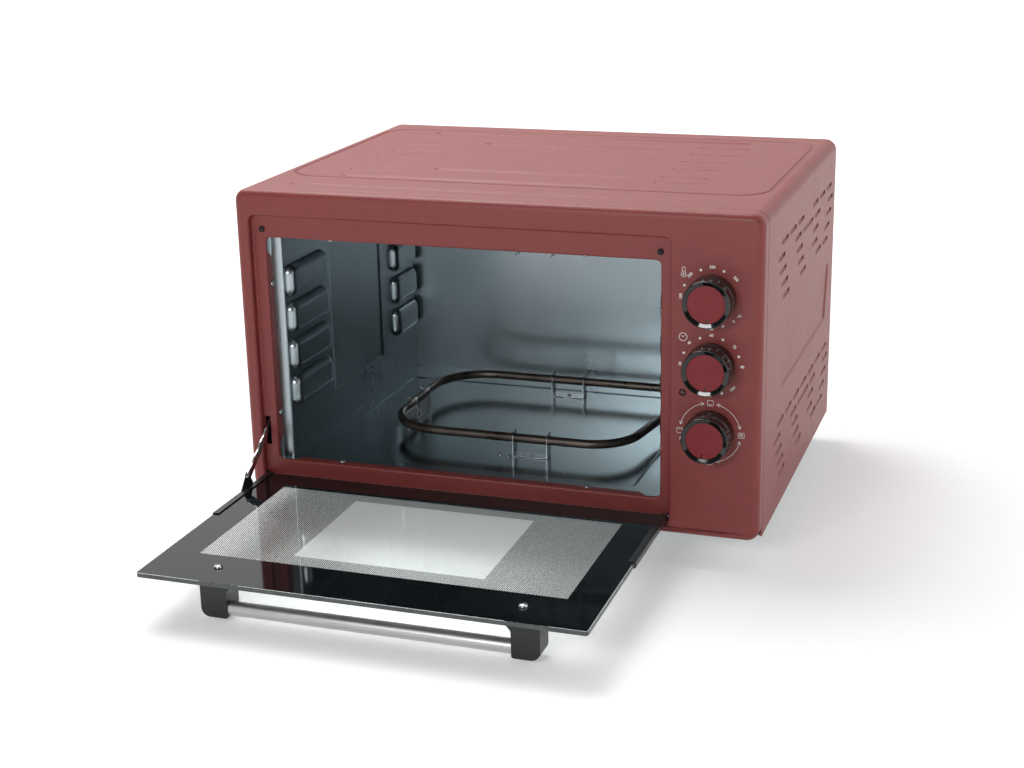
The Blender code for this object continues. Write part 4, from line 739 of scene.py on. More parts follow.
def make_dial_dot_tree():
    """Round dots of ink, evenly spaced round a dial on the upright front."""
    tree, given, out = new_tree(
        "dial_dots", "GeometryNodeTree",
        [("Geometry", GEOMETRY, None), ("Centre", VECTOR, (0.0, 0.0, 0.0)), ("Ring radius", FLOAT, 27.7),
         ("First angle", FLOAT, 0.0), ("Step angle", FLOAT, 0.7854), ("Count", "NodeSocketInt", 6),
         ("Dot radius", FLOAT, 0.8), ("Ink", FLOAT, 0.06), ("Finish", "NodeSocketMaterial", None)],
        [("Geometry", GEOMETRY)],
    )
    side = given.outputs
    line = put(tree, "GeometryNodeMeshLine", {"Count": side["Count"]})
    index = put(tree, "GeometryNodeInputIndex")
    angle = put(tree, "ShaderNodeMath", {0: index.outputs[0], 1: side["Step angle"], 2: side["First angle"]},
                operation="MULTIPLY_ADD")
    cosine = put(tree, "ShaderNodeMath", {0: angle.outputs[0]}, operation="COSINE")
    sine = put(tree, "ShaderNodeMath", {0: angle.outputs[0]}, operation="SINE")
    unit = put(tree, "ShaderNodeCombineXYZ", {0: cosine.outputs[0], 2: sine.outputs[0]})
    ring = put(tree, "ShaderNodeVectorMath", {0: unit.outputs[0], "Scale": side["Ring radius"]}, operation="SCALE")
    spot = put(tree, "ShaderNodeVectorMath", {0: ring.outputs[0], 1: side["Centre"]}, operation="ADD")
    spread = put(tree, "GeometryNodeSetPosition", {"Geometry": line.outputs[0], "Position": spot.outputs[0]})
    dot = put(tree, "GeometryNodeMeshCylinder", {"Vertices": 20, "Radius": side["Dot radius"], "Depth": side["Ink"]})
    placed = put(tree, "GeometryNodeInstanceOnPoints", {
        "Points": spread.outputs[0], "Instance": dot.outputs["Mesh"], "Rotation": (math.pi / 2, 0.0, 0.0)})
    return hand_out(tree, out, placed, side["Finish"])


LOUVRES = make_louvre_tree()
FIXINGS = make_fixing_tree()
DIAL_DOTS = make_dial_dot_tree()


def point_cloud(name, spots):
    """Loose points with the ways that they face and stand, for a geometry tree."""
    data = bpy.data.meshes.new(name)
    data.from_pydata([spot for spot, _facing, _up in spots], [], [])
    for label, column in (("facing", 1), ("up", 2)):
        kept = data.attributes.new(label, "FLOAT_VECTOR", "POINT")
        kept.data.foreach_set("vector", [c for row in spots for c in row[column]])
    made = bpy.data.objects.new(name, data)
    bpy.context.scene.collection.objects.link(made)
    return made


def screw_head(radius=3.2, height=2.2):
    """A domed pan head with a cross recess, facing +z from its seat."""
    dome = [(0.0, 0.0), (0.0, radius * 0.97), (height * 0.25, radius)]
    for k in range(1, 7):
        angle = math.pi / 2 * k / 7
        dome.append((height * (0.25 + 0.75 * math.sin(angle)), radius * math.cos(angle * 0.93)))
    dome.append((height, 0.0))
    head = new_object("screw_pattern", turned(dome, along_z(0, 0), 32))
    cross = bmesh.new()
    arm = radius * 0.58
    for a, b in ((arm, radius * 0.12), (radius * 0.12, arm)):
        add_box(cross, (-a, -b, height * 0.45), (a, b, height * 2))
    cut(head, cross)
    head.hide_render = True
    head.hide_viewport = True
    return head


PAN_HEAD = screw_head()


def set_screws(name, body, spots, size, finish="bright", stands_for=()):
    """Screws at points (place, facing), as one piece."""
    cloud = point_cloud(name, [(spot, facing, (0, 0, 1)) for spot, facing in spots])
    made = run_tree(cloud, FIXINGS, Fixing=PAN_HEAD, Size=size, Finish=FINISH[finish])
    return set_down(made, body, FINISH[finish], stands_for)


# ---- Case

def make_shell():
    """The wrapped sheet: two sides and a top, with beads, side fields and scooped louvres."""
    radius = 12.0
    side_run = TOP - radius
    arc = radius * math.pi / 2
    top_run = 2 * (SIDE - radius)
    total = 2 * (side_run + arc) + top_run
    edge = SIDE - radius
    crown = TOP - radius

    def to_space(y, s, h):
        if s > total / 2:
            x, back, z = to_space(y, total - s, h)
            return (-x, back, z)
        if s <= side_run:
            return (SIDE + h, y, s)
        if s <= side_run + arc:
            angle = (s - side_run) / radius
            return (edge + (radius + h) * math.cos(angle), y, crown + (radius + h) * math.sin(angle))
        return (edge - (s - side_run - arc), y, TOP + h)

    def over_top(x):
        return side_run + arc + edge - x

    loops = []

    def bead(left, right, y, width, depth=-2.0):
        low, high = sorted((over_top(left), over_top(right)))
        corners = rectangle(y - width / 2, y + width / 2, low, high)
        loops.extend(pressing(corners, width / 2 - 0.1, depth, width * 0.42, 3))

    for left, right, y in ((-186, 178, 350), (-107, 99, 297), (-108, 98, 144), (-187, 176, 93)):
        bead(left, right, y, 13.0)
    bead(-217, 208, 41, 7.5, -1.6)
    for y in (316, 275, 235, 194, 152, 124.5):
        bead(-192, -135, y, 6.0, -1.5)
        bead(127, 182, y, 6.0, -1.5)
    groove_outer = rectangle(78, 372, over_top(245), over_top(-245))
    for k, depth in enumerate((0.0, 0.0, -1.0, -1.4, -1.0, 0.0, 0.0)):
        loops.append((inset_loop(groove_outer, k * 0.9 - 0.9, 34, 10), depth))

    field = [(103, 119), (356, 119), (371, 172), (368, 181), (87, 181), (84, 172)]
    for flip_over in (False, True):
        corners = [(y, total - z) for y, z in field][::-1] if flip_over else field
        loops.extend(pressing(corners, 3.0, -1.6, 3.6, 4))

    slots = []
    scoops = {33.0: [], 60.0: []}
    rows = (
        (-0.895, -0.595, -0.295, 0.295, 0.595, 0.895),
        (-1.0, -0.39, 0.39, 0.965),
        (-0.94, -0.325, 0.33, 0.915),
        (-0.875, -0.27, 0.30, 0.845),
        (-0.805, -0.165, 0.475, 0.775),
    )
    vents = []
    for top in VENT_TOPS:
        for row, shares in enumerate(rows):
            vents += [(VENTS_MIDDLE + 144 * share, top - VENT_PITCH * row, 33.0) for share in shares]
        vents.append((VENTS_MIDDLE, top - VENT_PITCH, 60.0))
    vents.append((VENTS_MIDDLE, VENT_TOPS[1], 33.0))
    for y, z, length in vents:
        for way in (1, -1):
            s = z if way > 0 else total - z
            slots.append((y - length / 2, y + length / 2, s - 2.4, s + 2.4))
            scoops[length].append(((way * SIDE, y, z), (way, 0, 0), (0, 0, 1)))

    def rolled_rim(y, s):
        front = max(0.0, 1 - (y - SHELL_START) / 3.0)
        back = max(0.0, 1 - (DEPTH - y) / 2.0)
        return -1.3 * front * front - 0.5 * back * back

    arcs = [side_run + arc * k / 8 for k in range(9)]
    arcs += [total - s for s in arcs]
    rims = [SHELL_START + k for k in (0.8, 1.6, 2.4, 3.2)] + [DEPTH - 2.0, DEPTH - 1.0]
    blank = (SHELL_START, DEPTH, 0, total)
    shell = pressed_sheet("shell_sheet", blank, loops, slots, to_space, rims, arcs, rolled_rim)
    thicken(shell, 0.9)
    set_down(shell, "case", FINISH["paint"], ["outer_shell"])
    for length, spots in scoops.items():
        cloud = point_cloud(f"shell_louvres_{int(length)}", spots)
        made = run_tree(cloud, LOUVRES, Length=length + 0.4, Height=5.1, Depth=4.2, Finish=FINISH["paint"])
        set_down(made, "case", FINISH["paint"])


def ring(box, inset, radius, y, stations):
    """Points round a rounded rectangle, with the same count whatever its size."""
    left, right, low, high = box[0] + inset, box[1] - inset, box[2] + inset, box[3] - inset
    radius = max(radius - inset, 0.6)
    steps = 8
    points = []
    centres = (
        (right - radius, low + radius, -90, (0, 1), high - low),
        (right - radius, high - radius, 0, (-1, 0), right - left),
        (left + radius, high - radius, 90, (0, -1), high - low),
        (left + radius, low + radius, 180, (1, 0), right - left),
    )
    for u, v, start, way, length in centres:
        for k in range(steps + 1):
            angle = math.radians(start + 90 * k / steps)
            points.append((u + radius * math.cos(angle), v + radius * math.sin(angle), 0.0))
        end = points[-1]
        straight = length - 2 * radius
        for along in [*stations, *[straight - s for s in reversed(stations)]]:
            gap = min(along, straight - along)
            points.append((end[0] + way[0] * along, end[1] + way[1] * along, gap))
    return [(u, y if not callable(y) else y(gap), v) for u, v, gap in points]


def make_fascia():
    """The pressed front: soft outer edge, door recess, ledge and the lip round the opening."""
    stations = (2.0, 5.0, 8.0, 11.0, 13.0, 15.0, 17.0, 20.0, 26.0)
    case = (-SIDE, SIDE, 0.0, TOP)
    loops = [ring(case, 0.0, 12.0, 17.2, stations)]
    for k in range(9):
        angle = math.pi / 2 * k / 8
        loops.append(ring(case, 6.5 * (1 - math.cos(angle)), 12.0, 6.5 * (1 - math.sin(angle)), stations))
    loops.append(ring(case, 7.3, 12.0, 0.0, stations))
    soft = 2.6
    loops.append(ring(RECESS, -soft - 0.7, 7.0, 0.0, stations))
    for k in range(6):
        angle = math.pi / 2 * k / 5
        loops.append(ring(RECESS, -soft * (1 - math.sin(angle)), 7.0, soft * (1 - math.cos(angle)), stations))
    foot = 1.6
    for k in range(5):
        angle = math.pi / 2 * k / 4
        inset = foot * (1 - math.cos(angle))
        loops.append(ring(RECESS, inset, 7.0, RECESS_DEPTH - foot * (1 - math.sin(angle)), stations))
    loops.append(ring(RECESS, foot + 0.6, 7.0, RECESS_DEPTH, stations))
    lip = 1.8
    loops.append(ring(OPENING, -lip - 0.6, 5.0, RECESS_DEPTH, stations))
    for k in range(6):
        angle = math.pi / 2 * k / 5
        depth = RECESS_DEPTH + lip * (1 - math.cos(angle))
        loops.append(ring(OPENING, -lip * (1 - math.sin(angle)), 5.0, depth, stations))

    def lip_end(gap):
        share = min(1.0, max(0.0, (gap - 9.0) / 9.0))
        return 11.0 + (LIP_END - 11.0) * share * share * (3 - 2 * share)

    loops.append(ring(OPENING, 0.0, 5.0, lip_end, stations))
    mesh = bmesh.new()
    rows = [[mesh.verts.new(p) for p in loop] for loop in loops]
    bridge(mesh, rows)
    bmesh.ops.recalc_face_normals(mesh, faces=mesh.faces)
    middle = max(mesh.faces, key=lambda f: f.calc_area())
    if middle.normal.y > 0:
        bmesh.ops.reverse_faces(mesh, faces=mesh.faces)
    fascia = thicken(new_object("front_panel_sheet", mesh), 1.2)
    settle(fascia)
    holes = bmesh.new()
    slot = [(-245.5, 46.8, 1.2), (-239.6, 46.8, 1.2), (-239.6, 76.8, 1.2), (-245.5, 76.8, 1.2)]
    join_mesh(holes, prism(filleted(slot, True, 4), "y", 5, 12))
    join_mesh(holes, rod(-3, 3, 3.5, along_y(*LAMP), 40))
    for level in KNOB_LEVELS.values():
        join_mesh(holes, rod(-3, 3, 5.3, along_y(KNOB_X, level), 40))
    cut(fascia, holes)
    set_down(fascia, "case", FINISH["paint"], ["front_fascia"])


def make_back():
    """The back sheet with its louvres, screws and the cord's bush."""
    y = DEPTH - 3.0
    half = SIDE - 1.5

    def to_space(x, z, h):
        return (-x, y + h, z)

    holes = []
    spots = []
    for k in range(6):
        z = 182 + 12 * k
        for x in (213.3, -168.3):
            holes.append((-x - 22.5, -x + 22.5, z - 2, z + 2))
            spots.append(((x, y, z), (0, 1, 0), (0, 0, 1)))
    loops = pressing(rectangle(-225, 160, 30, 280), 16, -1.2, 4.0)
    loops += pressing(rectangle(-160, 90, 80, 230), 12, -0.9, 3.5)
    sheet = pressed_sheet("back_sheet", (-half, half, 0.5, TOP - 1.5), loops, holes, to_space)
    hole = rod(y - 5, y + 5, 6.5, along_y(*CORD_BUSH), 40)
    thicken(sheet, 0.9)
    settle(sheet)
    cut(sheet, hole)
    corners = bmesh.new()
    for way in (1, -1):
        corner = [(half - 13, TOP), (half + 3, TOP - 16), (half + 3, TOP + 3), (half - 13, TOP + 3)]
        join_mesh(corners, prism([(way * x, z) for x, z in corner], "y", y - 9, y + 9))
    cut(sheet, corners)
    set_down(sheet, "case", FINISH["paint"], ["back_panel"])
    cloud = point_cloud("back_louvres", spots)
    made = run_tree(cloud, LOUVRES, Length=45.4, Height=4.3, Depth=3.6, Finish=FINISH["paint"])
    set_down(made, "case", FINISH["paint"])
    places = [(x, z) for x in (-250, 0, 250) for z in (12, 296)] + [(-251, 150), (251, 150)]
    places += [(-238, 296), (238, 296)]
    set_screws("back_screws", "case", [((x, y, z), (0, 1, 0)) for x, z in places], 1.0)

    ribs = [(y + 2.3, 3.6), (y + 2.3, 8.6), (y + 1.9, 9.6), (y + 0.9, 10.0), (y + 0.3, 10.0), (y + 0.3, 6.2),
            (y - 9.0, 6.2), (y - 9.0, 3.6)]
    gland = new_object("cord_bush", turned(ribs, along_y(*CORD_BUSH), 64))
    set_down(gland, "case", FINISH["moulded"], ["cord_gland"])


def make_feet():
    """Four turned feet."""
    profile = [(-32, 0), (-32, 9.0), (-31.5, 9.4), (-31.0, 11.2), (-30.6, 12.4), (-29.6, 13.6), (-28.2, 14.0),
               (-20.0, 13.2), (-19.4, 12.5), (-18.6, 12.5), (-18.0, 13.0), (-6.0, 11.8), (-5.2, 11.2), (-4.4, 11.4),
               (0.2, 11.0), (0.5, 10.6), (0.5, 0)]
    for row, y in (("front", 105.0), ("rear", 356.4)):
        for side, x in (("left", -215.0), ("right", 215.0)):
            foot = new_object(f"rubber_foot_{row}_{side}", turned(profile, along_z(x, y), 48))
            set_down(foot, "case", FINISH["moulded"], [f"foot_{row}_{side}"])


# ---- Oven

def guide_loops(to_u):
    """The pressed rack guides of one side wall."""
    loops = []
    for level in GUIDE_LEVELS:
        for start, end in GUIDE_COLUMNS:
            corners = rectangle(to_u(start), to_u(end), level - GUIDE_HALF_HEIGHT, level + GUIDE_HALF_HEIGHT)
            loops.extend(pressing(corners, 9.0, 7.6, 7.5, 8, pillow=True))
    return loops


def make_side_walls():
    """Both walls of the oven, with the left one folded out to the lip."""
    low = FLOOR_TOP + 0.3
    high = ROOF_BOTTOM - 0.3
    path = filleted([(FLANGE_LEFT, LINER_START), (FLANGE_LEFT, 19.3, 1.6), (WALL_LEFT, 19.3, 2.2),
                     (WALL_LEFT, CAVITY_BACK - 0.3)], steps=6)
    lengths = [0.0]
    for a, b in zip(path, path[1:]):
        lengths.append(lengths[-1] + (b - a).length)

    def to_space(t, z, h):
        k = max(i for i in range(len(path) - 1) if lengths[i] <= t + 1e-6)
        way = (path[k + 1] - path[k]).normalized()
        if 0 < k < len(path) - 1 and abs(lengths[k] - t) < 1e-4:
            way = (way + (path[k] - path[k - 1]).normalized()).normalized()
        spot = path[k] + (path[k + 1] - path[k]).normalized() * (t - lengths[k])
        normal = Vector((way.y, -way.x))
        return (spot.x + normal.x * h, spot.y + normal.y * h, z)

    shift = lengths[-1] - (CAVITY_BACK - 0.3)

    def to_t(y):
        return y + shift

    loops = guide_loops(to_t)
    loops += pressing(rectangle(to_t(124), to_t(256), 68, 253), 5.0, -1.4, 4.5)
    left = pressed_sheet("oven_left_wall", (0, lengths[-1], low, high), loops, [], to_space, lengths[1:-1])
    thicken(left, SHEET)
    set_down(left, "case", FINISH["zinc"], ["cavity_left_wall", "cavity_left_flange"])

    def to_right(y, z, h):
        return (WALL_RIGHT - h, y, z)

    loops = guide_loops(lambda y: y)
    loops += pressing(rectangle(124, 256, 68, 253), 5.0, -1.4, 4.5)
    right = pressed_sheet("oven_right_wall", (LINER_START, CAVITY_BACK - 0.3, low, high), loops, [], to_right,
                          flip=True)
    thicken(right, SHEET)
    settle(right)
    holes = bmesh.new()
    for y, z in TUBE_ENDS:
        join_mesh(holes, rod(155, 175, 4.8, along_x(y, z), 32))
    cut(right, holes)
    set_down(right, "case", FINISH["zinc"], ["cavity_right_wall"])


def make_floor_and_roof():
    """The two level sheets of the oven, each with a pressed field."""
    left, right = FLANGE_LEFT - 1.0, WALL_RIGHT + 1.0
    field = rectangle(-206, 134, 32, 306)

    def floor_space(x, y, h):
        return (x, y, FLOOR_TOP + 0.8 + h)

    loops = pressing(field, 7.0, -0.8, 3.5)
    sheet = pressed_sheet("oven_floor", (left, right, LINER_START, CAVITY_BACK), loops, [], floor_space)
    thicken(sheet, SHEET)
    set_down(sheet, "case", FINISH["floor_zinc"], ["cavity_floor"])

    def roof_space(x, y, h):
        return (x, y, ROOF_BOTTOM + 0.2 - h)

    sheet = pressed_sheet("oven_roof", (left, right, LINER_START, CAVITY_BACK), loops, [], roof_space, flip=True)
    thicken(sheet, SHEET)
    set_down(sheet, "case", FINISH["floor_zinc"], ["cavity_roof"])


def make_heaters():
    """The looped tubes, with ceramic beads where they leave the right wall."""
    lower = [(185.8, 285), (-149, 285, 56), (-149, 88, 56), (105, 88, 48), (125, 213, 48), (185.8, 213)]
    upper = [(185.8, 270), (-149, 270, 56), (-149, 110, 56), (185.8, 110)]
    for name, route, z in (("lower", lower, LOWER_TUBE), ("upper", upper, UPPER_TUBE)):
        line = [(p.x, p.y, z) for p in filleted(route, steps=24)]
        tube = new_object(f"heater_tube_{name}", swept(line, TUBE_RADIUS, 32))
        set_down(tube, "case", FINISH["tube"], [f"{name}_heater"], 60)
    profile = [(0, 0), (0, 7.5), (0.8, 7.8), (2.2, 7.8), (2.4, 6.0), (3, 5.9), (14, 5.7), (15.5, 5.2), (16, 4.9),
               (16, 0)]
    bead = new_object("terminal_pattern", turned(profile, along_z(0, 0), 32))
    bead.hide_render = True
    spots = [((167.4, y, z), (1, 0, 0), (0, 0, 1)) for y, z in TUBE_ENDS]
    cloud = point_cloud("heater_end_beads", spots)
    made = run_tree(cloud, FIXINGS, Fixing=bead, Size=1.0, Finish=FINISH["ceramic"])
    set_down(made, "case", FINISH["ceramic"])
    bpy.data.objects.remove(bead)


def make_bracket(name, spot, turn, seat, tube_z):
    """A folded plate between two ears that hold the tube and end in notched hooks."""
    up = 1 if tube_z > seat else -1
    base = seat + up * 0.3
    reach = abs(tube_z - base)
    half = 18.5
    deep = 6.4
    mesh = bmesh.new()
    plate = [(half, deep), (-half, deep), (-half, -deep), (half, -deep)]
    join_mesh(mesh, prism(plate, "z", 0.0, 0.9))
    ear = [(-deep, 0.0), (deep, 0.0), (deep, reach - 6.0, 1.2), (5.9, reach - 1.0, 1.5), (5.6, reach + 4.2, 0.8),
           (6.3, reach + 7.2, 0.6), (3.9, reach + 8.1, 0.6), (2.6, reach + 6.1, 0.8), (-2.9, reach + 5.7, 0.8),
           (-5.0, reach + 7.8, 0.6), (-6.3, reach + 6.9, 0.5), (-5.3, reach + 4.0, 0.8), (-5.9, reach - 1.0, 1.5),
           (-deep, reach - 6.0, 1.2)]
    for x in (-half, half - 0.9):
        join_mesh(mesh, prism(filleted(ear, True, 3), "x", x, x + 0.9))
    place = (Matrix.Translation((*spot, base)) @ Matrix.Rotation(math.radians(turn), 4, "Z")
             @ Matrix.Diagonal((1, 1, up, 1)))
    bmesh.ops.transform(mesh, matrix=place, verts=mesh.verts)
    bmesh.ops.recalc_face_normals(mesh, faces=mesh.faces)
    made = new_object(f"{name}_plate", mesh)
    x, y = spot
    if turn == 0:
        bore = rod(x - 40, x + 40, 4.8, along_x(y, tube_z), 32)
    else:
        bore = rod(y - 40, y + 40, 4.8, along_y(x, tube_z), 32)
    slot = bmesh.new()
    add_box(slot, (-10.5, -0.8, -3.0), (-6.0, 0.8, 4.0))
    bmesh.ops.transform(slot, matrix=place, verts=slot.verts)
    cut(made, join_mesh(bore, slot))
    soften(made, 0.2, 2, 60)
    set_down(made, "case", FINISH["bright"], [name], 30)
    return [(tuple(place @ Vector((0.5, 0, 0.9))), (0, 0, up))]


def make_brackets():
    """The five tube brackets, their screws and two loose screws in the floor."""
    spots = make_bracket("lower_bracket_front", (10.7, 88), 0, FLOOR_TOP, LOWER_TUBE)
    spots += make_bracket("lower_bracket_rear", (-10.3, 285), 0, FLOOR_TOP, LOWER_TUBE)
    spots += make_bracket("lower_bracket_left", (-149, 180), -90, FLOOR_TOP, LOWER_TUBE)
    spots += make_bracket("upper_bracket_front", (10.7, 110), 0, ROOF_BOTTOM, UPPER_TUBE)
    spots += make_bracket("upper_bracket_rear", (-10.3, 270), 0, ROOF_BOTTOM, UPPER_TUBE)
    set_screws("bracket_screws", "case", spots, 0.72)
    loose = [((x, y, FLOOR_TOP - 0.1), (0, 0, 1)) for x, y in ((-21.6, 84.2), (-11.9, 82.8))]
    set_screws("floor_screws", "case", loose, 0.78)


def make_lip_screws():
    """Eight screws through the lip round the opening."""
    y = LIP_END - 3.5
    spots = []
    left, right, low, high = OPENING
    for share in (0.207, 0.791):
        z = low + (high - low) * share
        spots += [((left + 0.3, y, z), (1, 0, 0)), ((right - 0.3, y, z), (-1, 0, 0))]
    for share in (0.168, 0.815):
        x = left + (right - left) * share
        spots += [((x, y, low + 0.3), (0, 0, 1)), ((x, y, high - 0.3), (0, 0, -1))]
    stands_for = [f"flange_screw_{k}" for k in range(1, 9)]
    set_screws("lip_screws", "case", spots, 1.0, stands_for=stands_for)


def make_bumpers():
    """The two rubber dots that the shut door meets."""
    profile = [(5.3, 0), (5.35, 1.4), (5.6, 2.3), (6.2, 2.8), (7.0, 3.0), (7.7, 3.0), (7.7, 1.3), (12.0, 1.3),
               (12.0, 0)]
    for side, x in (("left", -235.1), ("right", 164.0)):
        dot = new_object(f"rubber_stop_{side}", turned(profile, along_y(x, 269.8), 40))
        set_down(dot, "case", FINISH["rubber"], [f"door_bumper_{side}"])


# ---- Door

def make_pane():
    """The glass, its printed enamel and the two handle screws."""
    outline = inset_loop(rectangle(*GLASS), 0, 3.0, 6)
    pane = new_object("door_pane", prism(outline, "z", GLASS_BOTTOM, GLASS_TOP))
    holes = bmesh.new()
    for x in HANDLE_SCREWS_X:
        join_mesh(holes, rod(10, 20, 2.3, along_z(x, HANDLE_SCREW_Y), 32))
    cut(pane, holes)
    soften(pane, 0.45, 2, 60)
    settle(pane)
    pane.data.materials.clear()
    pane.data.materials.append(FINISH["pane"])
    pane.data.materials.append(FINISH["ground"])
    for face in pane.data.polygons:
        face.material_index = 0 if abs(face.normal.z) > 0.9 else 1
    set_down(pane, "door", None, ["door_glass"], 30)
    inner = rectangle(GLASS[0] + 0.8, GLASS[1] - 0.8, GLASS[2] + 0.8, GLASS[3] - 0.8)
    enamel = prism(inset_loop(inner, 0, 2.4, 6), "z", GLASS_TOP + 0.02, GLASS_TOP + 0.06)
    print_sheet = new_object("door_print", enamel)
    set_down(print_sheet, "door", FINISH["enamel"])
    spots = [((x, HANDLE_SCREW_Y, GLASS_TOP + 0.1), (0, 0, 1)) for x in HANDLE_SCREWS_X]
    set_screws("handle_screws", "door", spots, 1.25, stands_for=["handle_screw_left", "handle_screw_right"])


def make_channels():
    """The steel channels on the pane's sides, with hinge stubs and the ear for the arm."""
    top = GLASS_TOP + 1.3
    low = GLASS_BOTTOM - 1.3
    for side, edge, out in (("left", GLASS[0], -1), ("right", GLASS[1], 1)):
        wall_out = edge + out * 1.3
        wall_in = edge + out * 0.3
        leg = edge - out * 5.5
        section = [(wall_out, low, 0.9), (leg, low, 0.3), (leg, low + 0.9, 0.3), (wall_in, low + 0.9, 0.2),
                   (wall_in, top - 0.9, 0.2), (leg, top - 0.9, 0.3), (leg, top, 0.3), (wall_out, top, 0.9)]
        channel = new_object(f"edge_channel_{side}", prism(filleted(section, True, 3), "y", -113.0, 3.5))
        parts = bmesh.new()
        join_mesh(parts, rod(wall_in, wall_out + out * 0.3, 3.4, along_x(*HINGE), 32))
        if out < 0:
            ear = [(HINGE[0] - 60, GLASS_TOP - 0.5), (HINGE[0] - 33, GLASS_TOP - 0.5)]
            ear += [(EAR[0] + 4 * math.cos(math.radians(a)), EAR[1] + 4 * math.sin(math.radians(a)))
                    for a in range(0, 181, 15)]
            join_mesh(parts, prism(ear, "x", wall_out, wall_in))
        mesh = bmesh.new()
        mesh.from_mesh(channel.data)
        join_mesh(mesh, parts)
        bmesh.ops.recalc_face_normals(mesh, faces=mesh.faces)
        mesh.to_mesh(channel.data)
        mesh.free()
        set_down(channel, "door", FINISH["coated"], [f"door_channel_{side}"], 30)


def on_arm(along, across):
    """A place on the hinge arm, as (y, z)."""
    cosine = math.cos(ARM_ANGLE)
    sine = math.sin(ARM_ANGLE)
    return (EAR[0] + along * cosine - across * sine, EAR[1] + along * sine + across * cosine)


def make_arm():
    """The arm with its notched upper edge, and the rivet in the ear."""
    half = 4.2
    outline = [(half * math.cos(a), half * math.sin(a)) for a in (math.radians(d) for d in range(90, 271, 12))]
    outline += [(ARM_LENGTH + half - 1.5, -half), (ARM_LENGTH + half, -half + 1.5), (ARM_LENGTH + half, half - 1.5),
                (ARM_LENGTH + half - 1.5, half)]
    count = 48
    for k in range(count, 0, -1):
        along = half + (ARM_LENGTH - half * 2) * k / count
        outline.append((along, half - 0.55 * (1 - math.cos(math.tau * 4 * (k / count)))))
    points = [on_arm(*p) for p in outline]
    arm = new_object("hinge_arm_plate", prism(points, "x", ARM_X - 0.75, ARM_X + 0.75))
    holes = bmesh.new()
    for along, radius in ((0, 1.7), (ARM_LENGTH, 1.3)):
        join_mesh(holes, rod(ARM_X - 5, ARM_X + 5, radius, along_x(*on_arm(along, 0)), 24))
    cut(arm, holes)
    soften(arm, 0.3, 2, 50)
    set_down(arm, "hinge_arm", FINISH["bright"], ["hinge_arm"], 30)
    pin = [(-245.3, 0), (-245.3, 2.1), (-245.15, 2.5), (-244.95, 2.6), (-244.9, 1.4), (-241.5, 1.4), (-241.5, 2.6),
           (-241.25, 2.5), (-241.1, 2.1), (-241.1, 0)]
    rivet = new_object("arm_rivet", turned(pin, along_x(*EAR), 32))
    set_down(rivet, "door", FINISH["bright"], ["arm_pin"])


def make_spring():
    """The door spring, from the arm's end to its anchor."""
    tail = on_arm(ARM_LENGTH, 0)
    start = Vector((ARM_X, *tail))
    end = Vector((ARM_X, *SPRING_ANCHOR))
    ahead = (end - start).normalized()
    across = Vector((1, 0, 0))
    up = ahead.cross(across)
    hook = across * 1.95
    points = [start + hook, start + hook * 0.2, start - hook, start - hook + ahead * 6.0]
    coil_start = start + ahead * 12.0
    coil = (end - ahead * 12.0) - coil_start
    turns, steps = 26, 20
    for k in range(turns * steps + 1):
        angle = math.tau * k / steps
        ring_way = across * -math.cos(angle) + up * math.sin(angle)
        points.append(coil_start + coil * (k / (turns * steps)) + ring_way * 4.4)
    points += [end - hook - ahead * 6.0, end - hook, end + hook * 0.2, end + hook]
    spring = new_object("door_spring", swept(points, 0.6, 8))
    set_down(spring, "case", FINISH["bright"], ["hinge_spring"], 60)


def make_handle():
    """Two moulded ends and the bar between them."""
    top = GLASS_BOTTOM - 0.3
    low = top - 41.5
    front = GLASS[2] + 23.5
    back = front + 24.0
    bar_y, bar_z = GLASS[2] + 31.5, top - 33.7
    for side, name in ((-1, "left"), (1, "right")):
        outer = DOOR_CENTRE + side * 159
        tab = outer - side * 33
        web = outer - side * 26
        outline = [(tab, top, 1.0), (tab, top - 9, 1.5), (web, top - 16.5, 5.0), (web, low, 2.0), (outer, low, 8.5),
                   (outer, top, 1.0)]
        end = new_object(f"handle_bracket_{name}", prism(filleted(outline, True, 6), "y", front, back))
        soften(end, 2.4, 4, 50)
        settle(end)
        socket = sorted((outer - side * 27.5, outer - side * 17.5))
        cut(end, rod(*socket, 6.9, along_x(bar_y, bar_z), 48))
        set_down(end, "door", FINISH["moulded"], [f"handle_end_{name}"], 40)
    half = 141.0
    ends = [(DOOR_CENTRE - half, 0), (DOOR_CENTRE - half, 6.2), (DOOR_CENTRE - half + 0.4, 6.6),
            (DOOR_CENTRE + half - 0.4, 6.6), (DOOR_CENTRE + half, 6.2), (DOOR_CENTRE + half, 0)]
    bar = new_object("handle_rod", turned(ends, along_x(bar_y, bar_z), 96))
    set_down(bar, "door", FINISH["bar"], ["handle_bar"])


# ---- Controls

